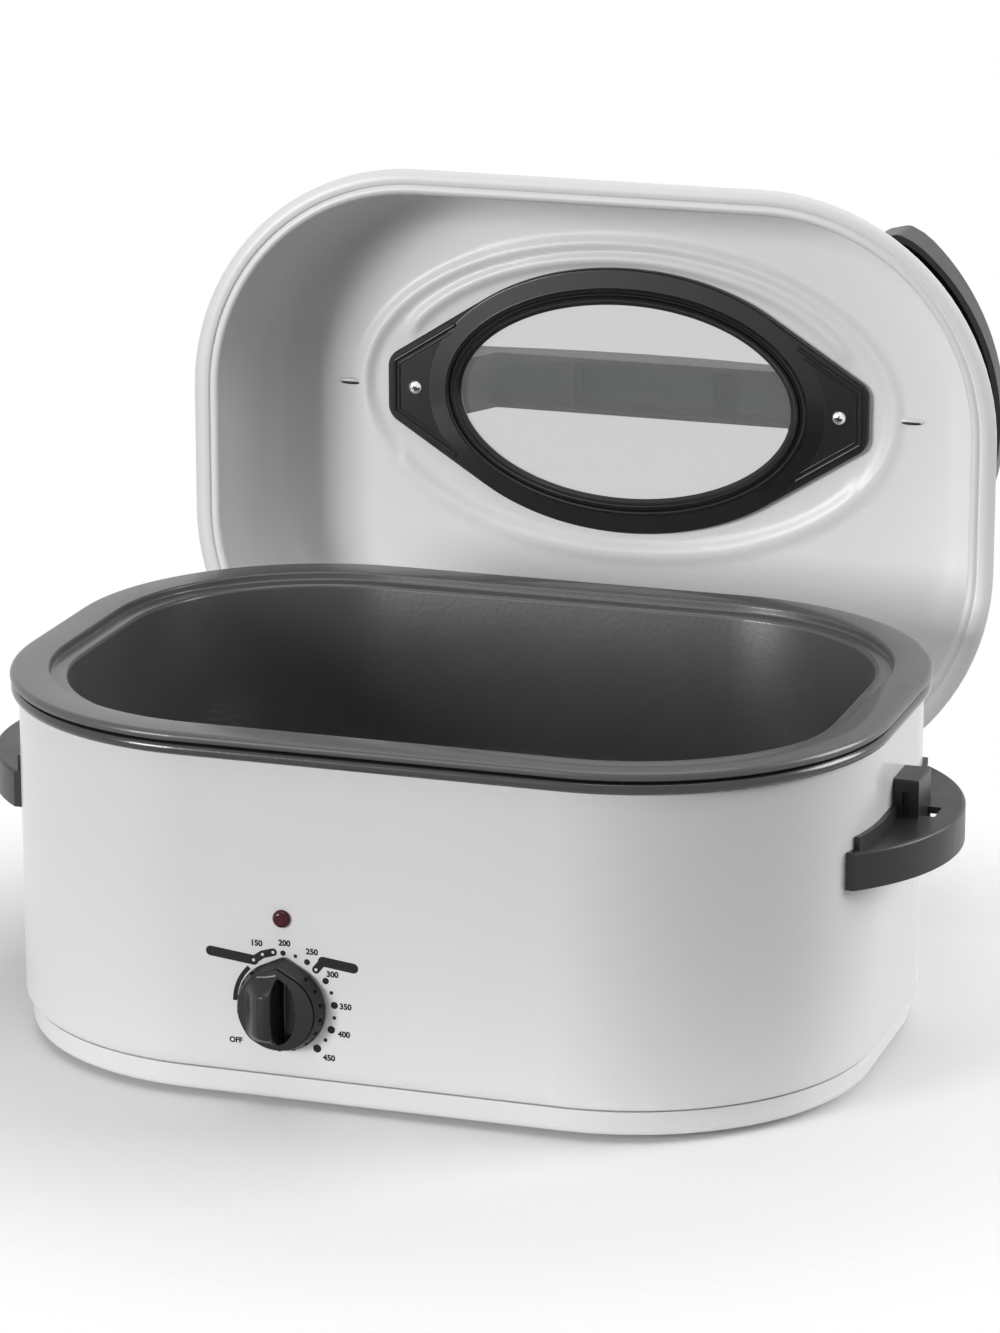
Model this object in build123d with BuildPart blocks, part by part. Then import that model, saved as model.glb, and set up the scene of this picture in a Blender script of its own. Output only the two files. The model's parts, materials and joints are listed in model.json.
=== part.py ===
"""Electric roaster oven with a swing-back lid.

Millimetres, +Z up.  The origin is on the table under the middle of the body, +X is to the right and +Y is to
the back.  The lid is modelled where it rests when the oven is open: upright behind the body, its hollow side
facing the front.
"""

from build123d import *
from math import cos, radians, sin, tan
import os

os.makedirs("parts", exist_ok=True)

# ---------------------------------------------------------------- driving dimensions
# The rim is the widest outline of the body, and every other outline is an inset of it.
rim_half_width = 260.0
rim_half_depth = 190.0
rim_corner = 150.0
body_height = 217.0  # table to the top of the pan's rim

foot_height = 4.0
foot_radius = 12.0
foot_x = 150.0
foot_setback = 95.0  # from the rim's front and back
foot_cover = 1.0  # what is left of the foot over its screw's head
foot_edge = 1.0
foot_screw_length = 16.0

wrap_sheet = 1.0  # the housing's steel
wrap_inset = 5.0
wrap_curl = 7.0
seam_height = 19.0
lower_flange = 10.0
upper_flange = 9.0

base_sheet = 1.2
base_inset = 9.0
base_edge = 5.0
base_seam_gap = 0.3
base_upstand = 7.5

ring_height = 8.0
ring_inset = 0.5
ring_width = 8.5
ring_round = 3.0

pan_sheet = 1.2
pan_rim_height = 6.0
pan_rim_width = 23.5
pan_roll = 3.0
pan_roll_round = 2.4
pan_step = 5.0
pan_ledge = 10.0
pan_floor = 48.0
pan_floor_round = 24.0
wall_taper = 3.0  # degrees, of the pan and of the well

well_sheet = 0.8
well_gap = 5.0
well_floor = 41.0
well_floor_round = 32.0
standoff_radius = 5.0

band_thickness = 2.5
band_low = 75.0
band_high = 104.0
blanket_thickness = 9.0
blanket_over_band = 8.0
blanket_under_ring = 5.0
wrap_on_gap = 0.3  # between the well and what is wrapped round it

control_x = -50.0
knob_z = 62.5
lens_z = 113.5
knob_radius = 26.0
knob_front_radius = 22.5
knob_point = 29.5
knob_skirt = 10.0
knob_depth = 24.0
knob_gap = 1.0
knob_wall = 3.0
knob_point_half_width = 10.0
knob_point_root = 23.0
grip_width = 12.0
shaft_radius = 3.0
running_clearance = 0.05
shaft_in_knob = 8.0
shaft_in_body = 10.0
thermostat_width = 32.0
thermostat_height = 28.0
thermostat_depth = 20.0
thermostat_plate = 1.5
thermostat_screw_x = 14.0
thermostat_corner = 3.0
thermostat_screw_edge = 6.0
thermostat_screw_length = 6.0
lens_radius = 5.2
lens_dome = 3.2
lens_edge = 0.3  # upright part of the dome's side
lens_stem = 4.0
lens_stem_length = 12.0
lamp_wall = 2.0
lamp_length = 13.0

handle_z = 152.0  # top of the side handle's plate
handle_skirt = 22.0
handle_plate = 4.0
handle_wall = 3.5
handle_reach = 36.0  # beyond the housing
handle_half_length = 94.0
handle_block_depth = 15.0
handle_block_width = 30.0
handle_block_rise = 22.0
handle_lip_rise = 7.0
handle_lip_half_length = 80.0
handle_notch = (8.0, 18.0)
handle_slot = (4.0, 15.0, 3.0)
handle_screw_y = 8.0
handle_tip_cut = 6.0  # the crescent's thin tips are cut off
handle_hollow_end = 24.0
handle_lip_width = 3.0
handle_block_lift = 3.0
handle_edge = 2.0
handle_block_edge = 1.5

lid_side_inset = 3.0  # of the shut lid's flange from the rim
lid_front_inset = 4.0
lid_corner = 147.0
lid_sheet = 1.2
lid_height = 88.0
lid_flange = 14.0
lid_taper = 5.0
lid_cove = 32.0
lid_seat_gap = 0.3  # between the shut lid's flange and the pan's rim
lid_vent_x = 184.0
lid_vent_slot = (14.0, 2.6)

window_shift = 30.0  # the window's middle is nearer the lid's front edge
glass_half_width = 122.0
glass_half_height = 76.0
glass_thickness = 4.0
window_lip = 14.0  # what the frame covers of the glass
frame_border = 9.0
frame_depth = 8.8
gasket_thickness = 0.8
sheet_setback = 2.0  # of the lid's sheet from the frame's opening
gasket_setback = 4.0
tab_reach = 157.0
tab_tip_half_height = 19.0
tab_root_half_height = 48.0
tab_thickness = 3.5
lid_screw_x = 139.0

lid_handle_half_length = 227.0
lid_handle_rise = 54.0
lid_handle_end_rise = 12.0
lid_grip_half_width = 18.0
lid_handle_end_radius = 127.0
lid_handle_fan_width = 77.0  # each end fans out to follow the lid's rounded end
lid_handle_fan_half_height = 108.0
lid_handle_fan_corner = 8.0
lid_handle_wall = 3.5
lid_handle_foot_x = 112.0
lid_grip_depth = 24.0
lid_handle_blend = 45.0
lid_boss_radius = 8.0
lid_grip_slope = 16.0  # how far the arch's ends lean in on their way up
lid_rib_x = 46.0

hinge_x = 85.0
hinge_offset = 14.0  # pivots behind the rim
hinge_drop = 5.0  # upper pivot below the lid's flange
link_length = 72.0
link_swing = 170.0  # degrees, from upright with the lid shut to hanging with the lid open
link_thickness = 4.0
link_half_width = 6.5
ear_thickness = 4.0
ear_gap = 0.3
ear_radius = 8.0
lid_ear_radius = 5.5
pin_radius = 2.5
pin_head = 1.5
bracket_plate = 3.0
bracket_half_height = 24.0
bracket_screw_z = 17.0
lid_bracket_rise = 26.0
lid_bracket_plate = 2.5
lid_bracket_clear = 4.0
lid_bracket_edge = 3.0  # metal left above the rivets
rivet_x = 8.0
rivet_head = 1.2
rivet_head_radius = 3.5
rivet_gap = 0.4  # the heads stand on a sloping wall
bracket_corner = 3.0

screw_radius = 2.0
screw_head_radius = 4.0
screw_head = 2.0
thread_clearance = 0.05
hole_clearance = 0.25
seat_gap = 0.2  # between a curved housing and what is screwed to it

rack_side_inset = 70.0  # of the rack's wire from the rim
rack_front_inset = 72.0
rack_corner = 60.0
rack_wire = 2.5
rack_grid_wire = 1.6
rack_leg = 12.0
rack_grid_pitch = 26.0
rack_handle_half = 38.0
rack_handle_rise = 56.0
rack_floor_gap = 0.3
rack_handle_bend = 14.0

gland_x = 90.0
gland_z = 42.0
cord_bore = 3.6
gland_sleeve = 6.4
gland_flange = 9.5
gland_tail = 14.0

# ---------------------------------------------------------------- worked-out places
ring_low = body_height - pan_rim_height - ring_height
ring_high = ring_low + ring_height
ledge_top = body_height - pan_step
pan_inset = pan_rim_width + pan_ledge
well_inset = pan_inset - pan_sheet - well_gap
well_top = ring_low + well_sheet
wrap_inner = wrap_inset + wrap_sheet
front_y = -(rim_half_depth - wrap_inset)
side_x = rim_half_width - wrap_inset
slope = tan(radians(wall_taper))
foot_y = rim_half_depth - foot_setback
lid_half_width = rim_half_width - lid_side_inset
lid_half_depth = rim_half_depth - lid_front_inset
rack_half_width = rim_half_width - rack_side_inset
rack_half_depth = rim_half_depth - rack_front_inset

pivot_y = rim_half_depth + hinge_offset
upper_pivot_z = body_height + lid_seat_gap - hinge_drop
lower_pivot_z = upper_pivot_z - link_length
open_pivot_y = pivot_y + link_length * sin(radians(link_swing))
open_pivot_z = lower_pivot_z + link_length * cos(radians(link_swing))
lid_y = open_pivot_y + hinge_drop
lid_z = open_pivot_z + pivot_y

# In the lid's own frame local Z is its height above the flange and local Y points to its hinge edge.
lid_plane = Plane(origin=(0, lid_y, lid_z), x_dir=(1, 0, 0), z_dir=(0, 1, 0))
roof_inside = lid_height - lid_sheet
lid_slope = tan(radians(lid_taper))


def front_plane(x, z, out=0.0):
    """A plane on the housing's front, facing the user."""
    return Plane(origin=(x, front_y - out, z), x_dir=(1, 0, 0), z_dir=(0, -1, 0))


def rear_plane(x, z, out=0.0):
    """A plane on the housing's back, facing away from the user."""
    return Plane(origin=(x, -front_y + out, z), x_dir=(-1, 0, 0), z_dir=(0, 1, 0))


def side_plane(y, z, out=0.0):
    """A plane on the housing's right side, facing out."""
    return Plane(origin=(side_x + out, y, z), x_dir=(0, 1, 0), z_dir=(1, 0, 0))


def across_plane(x):
    """A plane square to the hinge's pins, with local X to the back and local Y up."""
    return Plane(origin=(x, 0, 0), x_dir=(0, 1, 0), z_dir=(1, 0, 0))


def outline(inset):
    """The body's rounded rectangle, drawn this far inside the rim."""
    return RectangleRounded(
        2 * (rim_half_width - inset), 2 * (rim_half_depth - inset), rim_corner - inset
    )


def lid_outline(inset):
    """The lid's rounded rectangle, drawn this far inside its flange's edge."""
    return RectangleRounded(
        2 * (lid_half_width - inset), 2 * (lid_half_depth - inset), lid_corner - inset
    )


def tub(inset, low, high, edge):
    """A solid block with the body's outline and a rounded lower edge."""
    with BuildPart() as block:
        with BuildSketch(Plane.XY.offset(low)):
            outline(inset)
        extrude(amount=high - low)
        fillet(block.faces().sort_by(Axis.Z)[0].edges(), edge)
    return block.part


def tapered_tub(inset, low, high, edge=0.0):
    """A solid block that narrows downwards, given by its outline at the top."""
    with BuildPart() as block:
        with BuildSketch(Plane.XY.offset(high)):
            outline(inset)
        extrude(amount=low - high, taper=wall_taper)
        if edge:
            fillet(block.faces().sort_by(Axis.Z)[0].edges(), edge)
    return block.part


def dome(inset, low, high, edge):
    """The lid's solid form, narrowing to its roof, in the lid's frame."""
    with BuildPart() as block:
        with BuildSketch(lid_plane.offset(low)):
            lid_outline(inset)
        extrude(amount=high - low, taper=lid_taper)
        fillet(block.faces().sort_by(Axis.Y)[-1].edges(), edge)
    return block.part


def cylinder(plane, radius, start, end):
    """A round bar along a plane's normal, from start to end."""
    with BuildPart() as bar:
        with BuildSketch(plane.offset(start)):
            Circle(radius)
        extrude(amount=end - start)
    return bar.part


def screw(plane, length):
    """A pan-head screw whose head stands out of the plane and whose shank goes in."""
    with BuildPart() as fastener:
        with BuildSketch(plane):
            Circle(screw_head_radius)
        extrude(amount=screw_head)
        with BuildSketch(plane):
            Circle(screw_radius)
        extrude(amount=-length)
    return fastener.part


def save(piece, label):
    """Name a finished piece and write its STEP file."""
    piece.label = label
    export_step(piece, f"parts/{label}.step")


# ---------------------------------------------------------------- housing
housing_block = tub(wrap_inset, seam_height, ring_low, wrap_curl)
housing_hollow = tub(
    wrap_inner, seam_height + wrap_sheet, ring_low - wrap_sheet, wrap_curl - wrap_sheet
)
handle_screw_z = handle_z - handle_skirt / 2
through_wrap = 2 * wrap_sheet
with BuildPart() as housing:
    add(housing_block)
    add(housing_hollow, mode=Mode.SUBTRACT)
    with BuildSketch(Plane.XY.offset(seam_height)):
        outline(wrap_inset + lower_flange)
    extrude(amount=through_wrap, mode=Mode.SUBTRACT)
    with BuildSketch(Plane.XY.offset(ring_low)):
        outline(wrap_inset + upper_flange)
    extrude(amount=-through_wrap, mode=Mode.SUBTRACT)
    with BuildSketch(front_plane(control_x, knob_z)):
        Circle(shaft_radius + hole_clearance)
        with Locations((-thermostat_screw_x, 0), (thermostat_screw_x, 0)):
            Circle(screw_radius + hole_clearance)
    extrude(amount=-through_wrap, mode=Mode.SUBTRACT)
    with BuildSketch(front_plane(control_x, lens_z)):
        Circle(lens_stem + running_clearance)
    extrude(amount=-through_wrap, mode=Mode.SUBTRACT)
    with BuildSketch(side_plane(0, handle_screw_z)):
        with Locations((-handle_screw_y, 0), (handle_screw_y, 0)):
            Circle(screw_radius + hole_clearance)
    extrude(amount=-through_wrap, mode=Mode.SUBTRACT)
    with BuildSketch(side_plane(0, handle_screw_z, -2 * side_x)):
        with Locations((-handle_screw_y, 0), (handle_screw_y, 0)):
            Circle(screw_radius + hole_clearance)
    extrude(amount=through_wrap, mode=Mode.SUBTRACT)
    with BuildSketch(rear_plane(0, lower_pivot_z)):
        with GridLocations(2 * hinge_x, 2 * bracket_screw_z, 2, 2):
            Circle(screw_radius + hole_clearance)
    extrude(amount=-through_wrap, mode=Mode.SUBTRACT)
    with BuildSketch(rear_plane(gland_x, gland_z)):
        Circle(gland_sleeve + hole_clearance)
    extrude(amount=-through_wrap, mode=Mode.SUBTRACT)
save(housing.part, "housing")

# ---------------------------------------------------------------- base pan and feet
base_top = seam_height - base_seam_gap
plate_top = foot_height + base_sheet
upstand_inset = wrap_inset + lower_flange + hole_clearance
base_block = tub(base_inset, foot_height, base_top, base_edge)
base_hollow = tub(
    base_inset + base_sheet, plate_top, base_top - base_sheet, base_edge - base_sheet
)
with BuildPart() as base_pan:
    add(base_block)
    with BuildSketch(Plane.XY.offset(base_top)):
        outline(upstand_inset)
    extrude(amount=base_upstand)
    add(base_hollow, mode=Mode.SUBTRACT)
    with BuildSketch(Plane.XY.offset(base_top - base_sheet)):
        outline(upstand_inset + base_sheet)
    extrude(amount=base_sheet + base_upstand, mode=Mode.SUBTRACT)
    with BuildSketch(Plane.XY.offset(foot_height)):
        with GridLocations(2 * foot_x, 2 * foot_y, 2, 2):
            Circle(screw_radius + hole_clearance)
    extrude(amount=base_sheet, mode=Mode.SUBTRACT)
save(base_pan.part, "base_pan")

foot_pocket = foot_height - foot_cover
foot_places = {
    "foot_front_left": (-foot_x, -foot_y),
    "foot_front_right": (foot_x, -foot_y),
    "foot_rear_left": (-foot_x, foot_y),
    "foot_rear_right": (foot_x, foot_y),
}
for foot_name, (x, y) in foot_places.items():
    with BuildPart() as foot:
        with BuildSketch(Plane(origin=(x, y, 0))):
            Circle(foot_radius)
        extrude(amount=foot_height)
        fillet(foot.faces().sort_by(Axis.Z)[0].edges(), foot_edge)
        with BuildSketch(Plane(origin=(x, y, 0))):
            Circle(screw_head_radius + hole_clearance)
        extrude(amount=foot_pocket, mode=Mode.SUBTRACT)
        with BuildSketch(Plane(origin=(x, y, foot_pocket))):
            Circle(screw_radius + hole_clearance)
        extrude(amount=foot_height - foot_pocket, mode=Mode.SUBTRACT)
    save(foot.part, foot_name)

with BuildPart() as foot_screws:
    for x, y in foot_places.values():
        under = Plane(origin=(x, y, foot_pocket), x_dir=(1, 0, 0), z_dir=(0, 0, -1))
        add(screw(under, foot_screw_length))
save(foot_screws.part, "foot_screws")

with BuildPart() as well_standoffs:
    with BuildSketch(Plane.XY.offset(plate_top)):
        with GridLocations(2 * foot_x, 2 * foot_y, 2, 2):
            Circle(standoff_radius)
    extrude(amount=well_floor - plate_top)
    with BuildSketch(Plane.XY.offset(plate_top)):
        with GridLocations(2 * foot_x, 2 * foot_y, 2, 2):
            Circle(screw_radius + thread_clearance)
    extrude(amount=foot_screw_length, mode=Mode.SUBTRACT)
save(well_standoffs.part, "well_standoffs")

# ---------------------------------------------------------------- rim ring
with BuildPart() as rim_ring:
    with BuildSketch(Plane.XY.offset(ring_low)):
        outline(ring_inset)
    extrude(amount=ring_height)
    fillet(rim_ring.faces().sort_by(Axis.Z)[0].edges(), ring_round)
    with BuildSketch(Plane.XY.offset(ring_low)):
        outline(ring_inset + ring_width)
    extrude(amount=ring_height, mode=Mode.SUBTRACT)
save(rim_ring.part, "rim_ring")


# ---------------------------------------------------------------- heating well and what is wrapped round it
def well_inset_at(z):
    """How far inside the rim the well's outer wall stands at this height."""
    return well_inset + (well_top - z) * slope


well_block = tapered_tub(well_inset, well_floor, well_top, well_floor_round)
well_hollow = tapered_tub(
    well_inset + well_sheet, well_floor + well_sheet, well_top, well_floor_round - well_sheet
)
with BuildPart() as heating_well:
    with BuildSketch(Plane.XY.offset(ring_low)):
        outline(ring_inset + ring_width + hole_clearance)
    extrude(amount=well_sheet)
    add(well_block)
    add(well_hollow, mode=Mode.SUBTRACT)
save(heating_well.part, "heating_well")

band_inset = well_inset_at(band_high) - wrap_on_gap
band_block = tapered_tub(band_inset - band_thickness, band_low, band_high)
band_hollow = tapered_tub(band_inset, band_low, band_high)
with BuildPart() as heating_band:
    add(band_block)
    add(band_hollow, mode=Mode.SUBTRACT)
save(heating_band.part, "heating_band")

terminal_x = 30.0
terminal_size = (12.0, 9.0, 12.0)
terminal_gap = wrap_on_gap + slope * terminal_size[2] / 2
terminal_z = (band_low + band_high) / 2
terminal_back = rim_half_depth - well_inset_at(terminal_z) + wrap_on_gap + band_thickness
terminal_y = terminal_back + terminal_gap + terminal_size[1] / 2
with BuildPart() as heater_terminals:
    with BuildSketch(Plane.XY.offset(terminal_z - terminal_size[2] / 2)):
        with Locations((-terminal_x, terminal_y), (terminal_x, terminal_y)):
            Rectangle(terminal_size[0], terminal_size[1])
    extrude(amount=terminal_size[2])
save(heater_terminals.part, "heater_terminals")

blanket_low = band_high + blanket_over_band
blanket_high = ring_low - blanket_under_ring
blanket_inset = well_inset_at(blanket_high) - wrap_on_gap
blanket_block = tapered_tub(blanket_inset - blanket_thickness, blanket_low, blanket_high)
blanket_hollow = tapered_tub(blanket_inset, blanket_low, blanket_high)
with BuildPart() as insulation_blanket:
    add(blanket_block)
    add(blanket_hollow, mode=Mode.SUBTRACT)
save(insulation_blanket.part, "insulation_blanket")

# ---------------------------------------------------------------- roasting pan
pan_block = tapered_tub(pan_inset - pan_sheet, pan_floor, ledge_top, pan_floor_round)
pan_hollow = tapered_tub(
    pan_inset, pan_floor + pan_sheet, ledge_top, pan_floor_round - pan_sheet
)
with BuildPart() as roasting_pan:
    with BuildSketch(Plane.XY.offset(ring_high)):
        outline(0)
    extrude(amount=pan_rim_height)
    fillet(roasting_pan.faces().sort_by(Axis.Z)[-1].edges(), pan_roll_round)
    with BuildSketch(Plane.XY.offset(ring_high)):
        outline(pan_roll)
    extrude(amount=pan_rim_height - pan_sheet, mode=Mode.SUBTRACT)
    with BuildSketch(Plane.XY.offset(ledge_top - pan_sheet)):
        outline(pan_rim_width - pan_sheet)
    extrude(amount=body_height - ledge_top + pan_sheet)
    add(pan_block)
    with BuildSketch(Plane.XY.offset(ledge_top)):
        outline(pan_rim_width)
    extrude(amount=body_height - ledge_top, mode=Mode.SUBTRACT)
    add(pan_hollow, mode=Mode.SUBTRACT)
save(roasting_pan.part, "roasting_pan")

# ---------------------------------------------------------------- roasting rack
pan_floor_top = pan_floor + pan_sheet
rack_z = pan_floor_top + rack_leg
with BuildSketch(Plane.XY.offset(rack_z)) as rack_loop:
    RectangleRounded(2 * rack_half_width, 2 * rack_half_depth, rack_corner)
rack_path = rack_loop.sketch.faces()[0].outer_wire()
rack_leg_x = rack_half_width - rack_corner
with BuildPart() as rack_frame:
    with BuildSketch(Plane(origin=rack_path @ 0, z_dir=rack_path % 0)):
        Circle(rack_wire)
    sweep(path=rack_path)
    with BuildSketch(Plane.XY.offset(pan_floor_top + rack_floor_gap)):
        with GridLocations(2 * rack_leg_x, 2 * rack_half_depth, 2, 2):
            Circle(rack_wire)
    extrude(amount=rack_leg - rack_floor_gap)
    for side in (-1, 1):
        end_x = side * rack_half_width
        with BuildLine() as bail:
            FilletPolyline(
                (end_x, -rack_handle_half, rack_z),
                (end_x, -rack_handle_half, rack_z + rack_handle_rise),
                (end_x, rack_handle_half, rack_z + rack_handle_rise),
                (end_x, rack_handle_half, rack_z),
                radius=rack_handle_bend,
            )
        with BuildSketch(Plane(origin=bail.line @ 0, z_dir=bail.line % 0)):
            Circle(rack_wire)
        sweep(path=bail.line)
save(rack_frame.part, "rack_frame")

grid_z = rack_z + rack_wire + rack_grid_wire
grid_count = int(rack_half_width / rack_grid_pitch)
with BuildPart() as rack_grid:
    for k in range(-grid_count, grid_count + 1):
        x = k * rack_grid_pitch
        into_corner = max(0.0, abs(x) - (rack_half_width - rack_corner))
        half = rack_half_depth - rack_corner + (rack_corner**2 - into_corner**2) ** 0.5
        across = Plane(origin=(x, -half, grid_z), x_dir=(1, 0, 0), z_dir=(0, 1, 0))
        add(cylinder(across, rack_grid_wire, 0, 2 * half))
save(rack_grid.part, "rack_grid")

# ---------------------------------------------------------------- thermostat
plate_size = (2 * (thermostat_screw_x + thermostat_screw_edge), thermostat_height)
inner_front = front_plane(control_x, knob_z, -wrap_sheet)
body_front = front_plane(control_x, knob_z, -wrap_sheet - thermostat_plate)
with BuildPart() as thermostat_bracket:
    with BuildSketch(inner_front):
        Rectangle(*plate_size)
        Circle(shaft_radius + hole_clearance, mode=Mode.SUBTRACT)
        with Locations((-thermostat_screw_x, 0), (thermostat_screw_x, 0)):
            Circle(screw_radius + thread_clearance, mode=Mode.SUBTRACT)
    extrude(amount=-thermostat_plate)
save(thermostat_bracket.part, "thermostat_bracket")

with BuildPart() as thermostat_body:
    with BuildSketch(body_front):
        RectangleRounded(thermostat_width, thermostat_height, thermostat_corner)
    extrude(amount=-thermostat_depth)
    with BuildSketch(body_front):
        Circle(shaft_radius + running_clearance)
    extrude(amount=-shaft_in_body, mode=Mode.SUBTRACT)
    with BuildSketch(body_front):
        with Locations((-thermostat_screw_x, 0), (thermostat_screw_x, 0)):
            Circle(screw_radius + hole_clearance)
    extrude(amount=-thermostat_screw_length, mode=Mode.SUBTRACT)
save(thermostat_body.part, "thermostat_body")

with BuildPart() as thermostat_screws:
    for side in (-1, 1):
        add(screw(front_plane(control_x + side * thermostat_screw_x, knob_z), thermostat_screw_length))
save(thermostat_screws.part, "thermostat_screws")

shaft_start = -(wrap_sheet + thermostat_plate + shaft_in_body - hole_clearance)
shaft_end = knob_gap + shaft_in_knob
thermostat_shaft = cylinder(front_plane(control_x, knob_z), shaft_radius, shaft_start, shaft_end)
save(thermostat_shaft, "thermostat_shaft")

knob_back = front_plane(control_x, knob_z, knob_gap)
with BuildPart() as control_knob:
    with BuildSketch(knob_back):
        Circle(knob_radius)
    with BuildSketch(knob_back.offset(knob_skirt)):
        Circle(knob_front_radius)
    loft()
    with BuildSketch(knob_back):
        Polygon(
            (-knob_point_half_width, knob_point_root),
            (knob_point_half_width, knob_point_root),
            (0, knob_point),
            align=None,
        )
    extrude(amount=knob_skirt / 2)
    with BuildSketch(knob_back.offset(knob_skirt)):
        Rectangle(grip_width, 2 * knob_front_radius)
        Circle(knob_front_radius, mode=Mode.INTERSECT)
    extrude(amount=knob_depth - knob_skirt)
    with BuildSketch(knob_back):
        Circle(knob_front_radius - knob_wall)
        Circle(shaft_radius + knob_wall, mode=Mode.SUBTRACT)
    extrude(amount=knob_skirt - knob_wall, mode=Mode.SUBTRACT)
    with BuildSketch(knob_back):
        Circle(shaft_radius + running_clearance)
    extrude(amount=shaft_in_knob + hole_clearance, mode=Mode.SUBTRACT)
save(control_knob.part, "control_knob")

# ---------------------------------------------------------------- indicator
with BuildPart() as indicator_lens:
    with BuildSketch(front_plane(control_x, lens_z)):
        Circle(lens_radius)
    extrude(amount=lens_dome)
    fillet(indicator_lens.faces().sort_by(Axis.Y)[0].edges(), lens_dome - lens_edge)
    with BuildSketch(front_plane(control_x, lens_z)):
        Circle(lens_stem)
    extrude(amount=-lens_stem_length)
save(indicator_lens.part, "indicator_lens")

with BuildPart() as indicator_lamp:
    with BuildSketch(front_plane(control_x, lens_z, -wrap_sheet)):
        Circle(lens_stem + lamp_wall)
    extrude(amount=-lamp_length)
    with BuildSketch(front_plane(control_x, lens_z, -wrap_sheet)):
        Circle(lens_stem + running_clearance)
    extrude(amount=-(lens_stem_length - wrap_sheet + thread_clearance), mode=Mode.SUBTRACT)
save(indicator_lamp.part, "indicator_lamp")

# ---------------------------------------------------------------- sensing bulb, clip and wiring
bulb_radius = 3.0
bulb_half_length = 30.0
bulb_setback = 100.0  # from the rim's front
bulb_y = bulb_setback - rim_half_depth
bulb_z = well_floor - bulb_radius - wrap_on_gap
capillary_radius = 1.0
capillary_bend = 3.5
capillary_x = control_x + 8.0
capillary_y = front_y + 30.0
capillary_end_y = front_y + wrap_sheet + thermostat_plate + thermostat_depth
capillary_z = knob_z - 9.0
with BuildPart() as sensing_bulb:
    with BuildSketch(Plane(origin=(-bulb_half_length, bulb_y, bulb_z), z_dir=(1, 0, 0))):
        Circle(bulb_radius)
    extrude(amount=2 * bulb_half_length)
    with BuildLine() as capillary:
        FilletPolyline(
            (-bulb_half_length, bulb_y, bulb_z),
            (capillary_x, bulb_y, bulb_z),
            (capillary_x, capillary_y, bulb_z),
            (capillary_x, capillary_y, capillary_z),
            (capillary_x, capillary_end_y, capillary_z),
            radius=capillary_bend,
        )
    with BuildSketch(Plane(origin=capillary.line @ 0, z_dir=capillary.line % 0)):
        Circle(capillary_radius)
    sweep(path=capillary.line)
save(sensing_bulb.part, "sensing_bulb")

clip_width = 8.0
clip_wall = 2.0
clip_half = bulb_radius + clip_wall
with BuildPart() as bulb_clip:
    with BuildSketch(Plane(origin=(-clip_width / 2, bulb_y, bulb_z), x_dir=(0, 1, 0), z_dir=(1, 0, 0))):
        Circle(clip_half)
        with Locations((0, (well_floor - bulb_z) / 2)):
            Rectangle(2 * clip_half, well_floor - bulb_z)
        with Locations((0, well_floor - bulb_z + clip_half)):
            Rectangle(4 * clip_half, 2 * clip_half, mode=Mode.SUBTRACT)
        Circle(bulb_radius + hole_clearance, mode=Mode.SUBTRACT)
    extrude(amount=clip_width)
save(bulb_clip.part, "bulb_clip")

block_size = (36.0, 18.0, 14.0)
block_corner = 2.0
block_setback = 72.0  # from the rim's back
block_place = (60.0, rim_half_depth - block_setback)
with BuildPart() as terminal_block:
    with BuildSketch(Plane(origin=(block_place[0], block_place[1], plate_top))):
        RectangleRounded(block_size[0], block_size[1], block_corner)
    extrude(amount=block_size[2])
save(terminal_block.part, "terminal_block")

wire_radius = 2.0
wire_bend = 12.0
wire_slant = (30.0, 60.0)  # where the harness turns towards the front
wire_z = plate_top + wire_radius + wrap_on_gap
wire_up_y = capillary_end_y - 2 * wire_radius
with BuildPart() as wiring_harness:
    with BuildLine() as harness:
        FilletPolyline(
            (block_place[0] - block_size[0] / 2, block_place[1], wire_z),
            (control_x + wire_slant[0], block_place[1], wire_z),
            (control_x, block_place[1] - wire_slant[1], wire_z),
            (control_x, wire_up_y, wire_z),
            (control_x, wire_up_y, knob_z - thermostat_height / 2),
            radius=wire_bend,
        )
    with BuildSketch(Plane(origin=harness.line @ 0, z_dir=harness.line % 0)):
        Circle(wire_radius)
    sweep(path=harness.line)
save(wiring_harness.part, "wiring_harness")

# ---------------------------------------------------------------- cord gland
gland_inside = 5.0
gland_flange_thickness = 3.0
with BuildPart() as cord_gland:
    with BuildSketch(rear_plane(gland_x, gland_z, -wrap_sheet - gland_inside)):
        Circle(gland_sleeve)
    extrude(amount=wrap_sheet + gland_inside + gland_tail)
    with BuildSketch(rear_plane(gland_x, gland_z)):
        Circle(gland_flange)
    extrude(amount=gland_flange_thickness)
    with BuildSketch(rear_plane(gland_x, gland_z, -wrap_sheet)):
        Circle(gland_flange)
    extrude(amount=-gland_flange_thickness)
    with BuildSketch(rear_plane(gland_x, gland_z, -wrap_sheet - gland_inside)):
        Circle(cord_bore)
    extrude(amount=wrap_sheet + gland_inside + gland_tail, mode=Mode.SUBTRACT)
save(cord_gland.part, "cord_gland")

# ---------------------------------------------------------------- side handles
handle_low = handle_z - handle_skirt
handle_back = wrap_inset - seat_gap
corner_x = rim_half_width - rim_corner
corner_y = rim_half_depth - rim_corner
wall_radius = rim_corner - wrap_inset
tip_x = corner_x + (wall_radius**2 - (handle_half_length - corner_y) ** 2) ** 0.5


def handle_face(shrink):
    """The D of the handle, its arc drawn this far inside the outer one."""
    with BuildLine() as bow:
        ThreePointArc(
            (tip_x - shrink, -handle_half_length),
            (side_x + handle_reach - shrink, 0),
            (tip_x - shrink, handle_half_length),
        )
        Line((tip_x - shrink, handle_half_length), (tip_x - shrink, -handle_half_length))
    make_face(bow.edges())


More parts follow.
